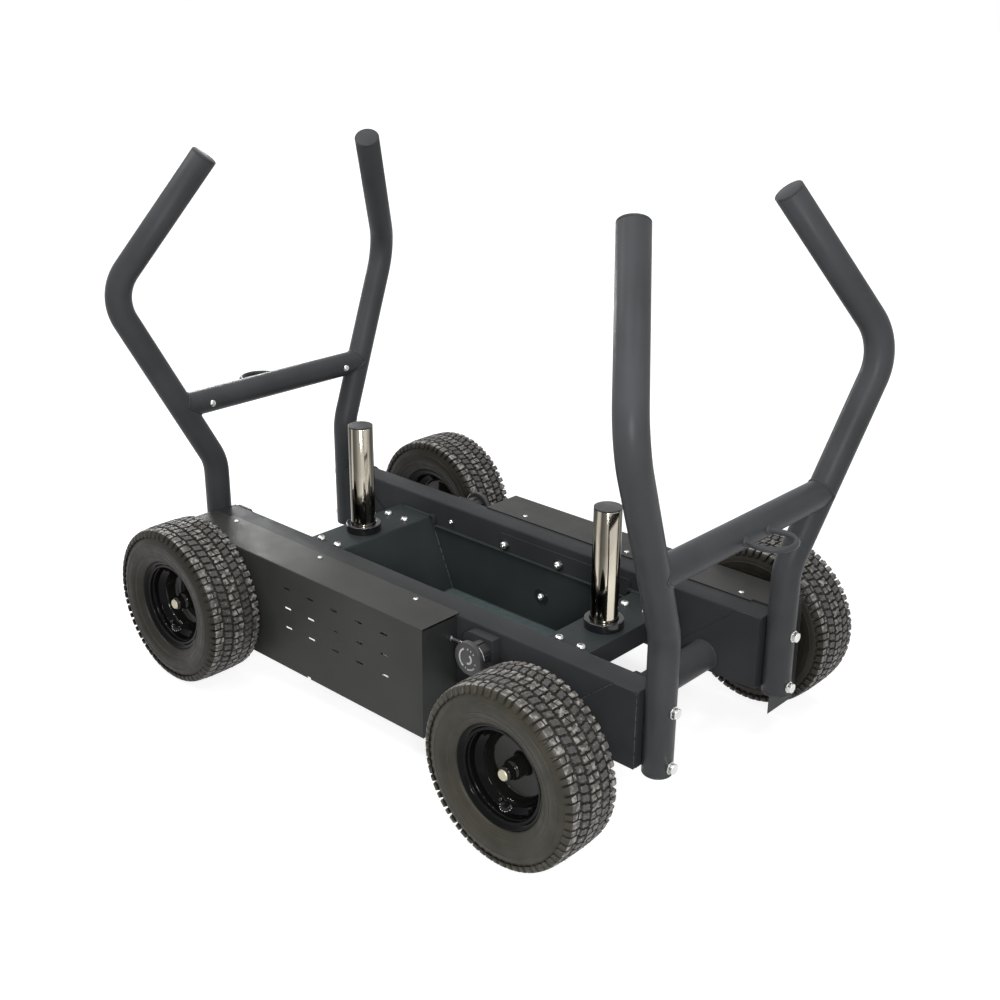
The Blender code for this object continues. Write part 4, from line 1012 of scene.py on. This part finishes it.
def build_boxes():
    sheet, clear = 0.0015, 0.01
    back = -rail_outer - 0.0003
    front = -box_front + sheet + 0.0003
    low, top = box_bottom, rail_top
    inside_back = back - sheet
    left, right = box_a + sheet, box_b - sheet
    rooms = [
        ((left, front - clear, low - clear), (right, inside_back, top - sheet)),
        ((left, front - clear, low - clear), (right, inside_back - 0.022, top + clear)),
        ((left, inside_back - 0.005, low - clear), (right, back + clear, rail_bottom)),
        ((box_a - clear, front - clear, top - 0.003), (left + 0.0003, inside_back, top + clear)),
        ((right - 0.0003, front - clear, top - 0.003), (box_b + clear, inside_back, top + clear)),
    ]
    bore = [(-clear, 0.0155), (clear, 0.0155)]
    tools = [box(start, end) for start, end in rooms]
    tools.append(turned((-wheel_x, back, wheel_radius), "Y", bore, 40))
    tools.append(turned((box_b, link_y, link_z), "X", [(-clear, 0.0045), (clear, 0.0045)], 24))
    made = cut(box((box_a, front, low), (box_b, back, top)), tools)
    both_sides("brake_box_tray", made, (tray_coat, "box_coat"), ["box_tray"], bevel=0.0005, segments=1)
    profile = metres([(-3.0, 4.0), (0.2, 4.0), (0.2, 5.8), (2.2, 5.4), (3.4, 4.4), (3.4, 3.4), (-3.0, 3.4)])
    both_sides("link_ferrule", turned((box_b, link_y, link_z), "X", profile, 28, closed=True), washer_look)

    line = [(-box_front, box_bottom), (-box_front, lid_top), (-rail_outer + 0.0065, lid_top)]
    made = loft(extruded(folded(line, sheet, 0.0028, 6), "X", box_a - 0.0008, box_b + 0.0008))
    slots = bmesh.new()
    outlines = []
    for column in range(5):
        for row in range(3):
            x, z = -0.079 + (column - 2) * 0.067, 0.1865 + (row - 1) * 0.041
            outlines.append(rounded_rectangle((x - 0.009, z - 0.00175), (x + 0.009, z + 0.00175), 0.0017))
    drain = ((-0.165, box_bottom - 0.006), (-0.155, box_bottom + 0.004))
    outlines.append(rounded_rectangle(*drain, 0.002, 3))
    for outline in outlines:
        add_loft(slots, extruded(outline, "Y", -box_front - clear, -box_front + clear))
    notch = box((box_a - 0.02, -rail_outer - 0.0018, lid_top - clear), (box_a + 0.051, 0, lid_top + clear))
    made = cut(made, [notch, slots, turned((-wheel_x, -box_front, wheel_radius), "Y", bore, 40)])
    both_sides("brake_box_cover", made, (box_coat, "box_coat"), ["box_cover"], bevel=0.0004, segments=1)

    screw = button_screw(0.0095, 0.0028, 0.0022)
    for number, x in enumerate((-0.465, -0.204, 0.058)):
        place = Matrix.Translation((x, -rail_outer - 0.0105, lid_top))
        place = place @ Matrix.Rotation(random.uniform(0, 1), 4, "Z")
        both_sides("lid_screw_%d" % (number + 1), transformed(screw, place), screw_look, smooth=32)
    screw.free()


# Selectors

def build_selectors():
    back = -rail_outer - 0.0003
    front = back - 0.020
    outline = [(0.184, 0.202), (0.254, 0.202), (0.254, 0.260)]
    for step in range(13):
        x, z = polar(0.020, pi / 2 * (1 + step / 12))
        outline.append((0.204 + x, 0.240 + z))
    made = loft(extruded(outline, "Y", back, front))
    both_sides("selector_body", made, frame_look_painted_shade, ["selector_housing"], bevel=0.0016)

    sides = 96
    knob_back = front - 0.0006
    knob_front = knob_back - 0.027
    dial_front = knob_front - 0.010
    centre = Vector((selector_x, 0, selector_z))

    def lobed(scale):
        """Points of the knob's grip: eight flats with a groove at each corner."""
        points = []
        for angle in angles(sides, 0.5):
            local = (angle + pi / 8) % (pi / 4) - pi / 8
            groove = 0.0030 if abs(local) > pi / 8 - 0.10 else 0.0
            radius = 0.0222 / cos(local) * scale - groove
            points.append(at("Y", 0, *polar(radius, angle)))
        return points

    def rounds(*levels):
        return [(y, ring((0, 0, 0), "Y", radius, sides)) for y, radius in levels]

    plan = rounds((front + 0.002, 0.005), (knob_back, 0.005))
    plan += [(knob_back, lobed(0.94)), (knob_back - 0.0012, lobed(1.0)), (knob_front + 0.0008, lobed(1.0)),
             (knob_front, lobed(0.97))]
    plan += rounds((knob_front, 0.0290), (knob_front - 0.0008, 0.0305), (dial_front + 0.0014, 0.0305),
                   (dial_front + 0.0004, 0.0299), (dial_front, 0.0289))
    made = loft([[centre + p + Vector((0, y, 0)) for p in points] for y, points in plan])
    both_sides("selector_knob", made, plastic_look, ["selector_knob"], body="knob")

    made = bmesh.new()
    proud = 0.0004

    def around(radius, start, end, steps):
        """Points (x, z) of an arc about the knob's axis, between two angles in degrees."""
        shares = [step / steps for step in range(steps + 1)]
        spots = [polar(radius, radians(start + (end - start) * share)) for share in shares]
        return [(centre.x + x, centre.z + z) for x, z in spots]

    marks = [(0.0170, 0.0202, 118, 238, 20), (0.0065, 0.0102, -98, 58, 20), (0.0185, 0.0212, 268, 322, 20)]
    marks += [(0.0172, 0.0196, angle, angle + 7, 3) for angle in (40, 62, 84, 252, 340)]
    for inner, outer, start, end, steps in marks:
        outline = around(outer, start, end, steps) + around(inner, start, end, steps)[::-1]
        add_loft(made, extruded(outline, "Y", dial_front - proud, dial_front + proud))
    # Painted highlight: a pale arc on the dial's rear edge, on its upper right, in the print's tone
    section = ((knob_front - 0.0002, 0.0296), (knob_front - 0.0016, 0.0296), (knob_front - 0.0016, 0.0308),
               (knob_front - 0.0002, 0.0308))
    painted_highlight_band = [[Vector((x, y, z)) for x, z in around(radius, 8, 54, 12)] for y, radius in section]
    add_loft(made, list(zip(*painted_highlight_band)))
    both_sides("dial_marks_and_painted_highlight", made, (dial_print, "zinc_steel"), body="knob")


def dress_cad_nodes():
    """Procedural finishes for the CAD solids that stay in view or lie behind the covers."""
    finishes = {
        "axle_bearing": steel, "axle_sprocket": steel, "drive_chain": steel, "rotor_bearing": aluminium,
        "brake_rotor": aluminium, "magnet_yoke": steel, "link_rod": zinc, "link_guide": plastic,
    }
    for name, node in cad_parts.items():
        for start, material in finishes.items():
            if name.startswith(start):
                node.data.materials.clear()
                node.data.materials.append(material)


# Stage: floor, world, lamps and camera

def seen_rays(tree):
    """1 for rays from the camera, through glass or off a gloss, and 0 for the rays that light the sled."""
    path = add_node(tree, "ShaderNodeLightPath")
    inputs = {0: path.outputs["Is Camera Ray"], 1: path.outputs["Is Transmission Ray"]}
    direct = add_node(tree, "ShaderNodeMath", inputs, "MAXIMUM")
    inputs = {0: direct.outputs[0], 1: path.outputs["Is Glossy Ray"]}
    return add_node(tree, "ShaderNodeMath", inputs, "MAXIMUM").outputs[0]


def build_floor():
    made = bmesh.new()
    bmesh.ops.create_grid(made, x_segments=8, y_segments=8, size=30.0)
    mesh = bpy.data.meshes.new("studio_floor")
    made.to_mesh(mesh)
    made.free()
    floor = add_object("studio_floor", mesh)
    floor.location.z = -0.0006
    material = bpy.data.materials.new("floor_white")
    material.use_nodes = True
    tree = material.node_tree
    tree.nodes.clear()
    diffuse = add_node(tree, "ShaderNodeBsdfDiffuse", {"Color": (0.42, 0.42, 0.42, 1)})
    reach = add_node(tree, "ShaderNodeVectorMath", {0: object_point(tree)}, "LENGTH")
    inputs = {"Value": reach.outputs["Value"], "From Min": 0.9, "From Max": 1.9, "To Min": 0.80,
              "To Max": 0.95}
    strength = add_node(tree, "ShaderNodeMapRange", inputs)
    amount = add_node(tree, "ShaderNodeMath", {0: seen_rays(tree), 1: strength.outputs["Result"]}, "MULTIPLY")
    glow = add_node(tree, "ShaderNodeEmission", {"Color": (1, 1, 1, 1), "Strength": amount.outputs[0]})
    total = add_node(tree, "ShaderNodeAddShader", {0: diffuse.outputs[0], 1: glow.outputs[0]})
    add_node(tree, "ShaderNodeOutputMaterial", {"Surface": total.outputs[0]})
    mesh.materials.append(material)


def build_world():
    world = bpy.data.worlds.new("studio")
    scene.world = world
    world.use_nodes = True
    tree = world.node_tree
    tree.nodes.clear()
    ambient = add_node(tree, "ShaderNodeBackground", {"Color": (0.96, 0.98, 1.0, 1), "Strength": 0.15})
    plain = add_node(tree, "ShaderNodeBackground", {"Color": (1, 1, 1, 1), "Strength": 1.0})
    inputs = {"Fac": seen_rays(tree), 1: ambient.outputs[0], 2: plain.outputs[0]}
    mix = add_node(tree, "ShaderNodeMixShader", inputs)
    add_node(tree, "ShaderNodeOutputWorld", {"Surface": mix.outputs[0]})


def add_lamp(name, kind, energy, place, direction):
    data = bpy.data.lights.new(name, kind)
    data.energy = energy
    lamp = add_object(name, data)
    lamp.location = place
    lamp.rotation_euler = direction.to_track_quat("-Z", "Y").to_euler()
    return data


def add_sun(name, direction, energy, angle):
    add_lamp(name, "SUN", energy, (0, 0, 0), Vector(direction)).angle = radians(angle)


def add_card(name, place, look_at, width, height, power):
    data = add_lamp(name, "AREA", power, place, Vector(look_at) - Vector(place))
    data.shape = "RECTANGLE"
    data.size, data.size_y = width, height


def build_lamps():
    add_sun("overhead", (0.25, 0.10, -1.0), 1.25, 50)
    add_sun("from_camera", (-0.66, 0.60, -0.42), 0.50, 14)
    add_card("key", (1.75, -1.75, 1.25), (0.35, -0.15, 0.35), 0.5, 0.5, 32)
    add_card("lid_sheen", (-1.77, 0.61, 0.89), (-0.5, -0.25, 0.27), 0.45, 0.35, 8.0)
    add_card("soft_top", (-0.90, -0.45, 1.9), (-0.5, -0.22, 0.3), 0.7, 0.7, 10)
    glints = ((2.6, -2.4, 2.8), (3.2, -0.8, 2.2), (1.8, -0.9, 2.9), (0.7, -1.5, 2.5), (0.2, -1.0, 2.7),
              (1.5, 0.3, 2.7))
    for number, place in enumerate(glints):
        add_card("glint_%d" % (number + 1), place, (0, 0, 0.25), 0.16, 0.22, 5.0)


def build_camera():
    """The photo's own view: its place, its direction and its lens, as fitted to the sled's edges."""
    azimuth, elevation, roll = radians(42.586), radians(21.66), radians(0.392)
    back = Vector((sin(azimuth) * cos(elevation), -cos(azimuth) * cos(elevation),
                   sin(elevation)))
    right = Vector((cos(azimuth), sin(azimuth), 0))
    up = back.cross(right)
    rolled_right = right * cos(roll) + up * sin(roll)
    rolled_up = up * cos(roll) - right * sin(roll)
    data = bpy.data.cameras.new("photo_camera")
    data.sensor_width = 36
    data.lens = 1338 / 1000 * 36
    data.clip_end = 100
    camera = add_object("photo_camera", data)
    turn = Matrix((rolled_right, rolled_up, back)).transposed().to_4x4()
    camera.matrix_world = Matrix.Translation((1.6220, -1.6934, 1.3148)) @ turn
    scene.camera = camera


build_handles()
build_crossbars()
build_handle_bolts()
build_rails()
build_bin()
build_posts()
build_straps()
build_wheels()
build_boxes()
build_selectors()
dress_cad_nodes()
build_floor()
build_world()
build_lamps()
build_camera()
scene.view_settings.view_transform = "Standard"
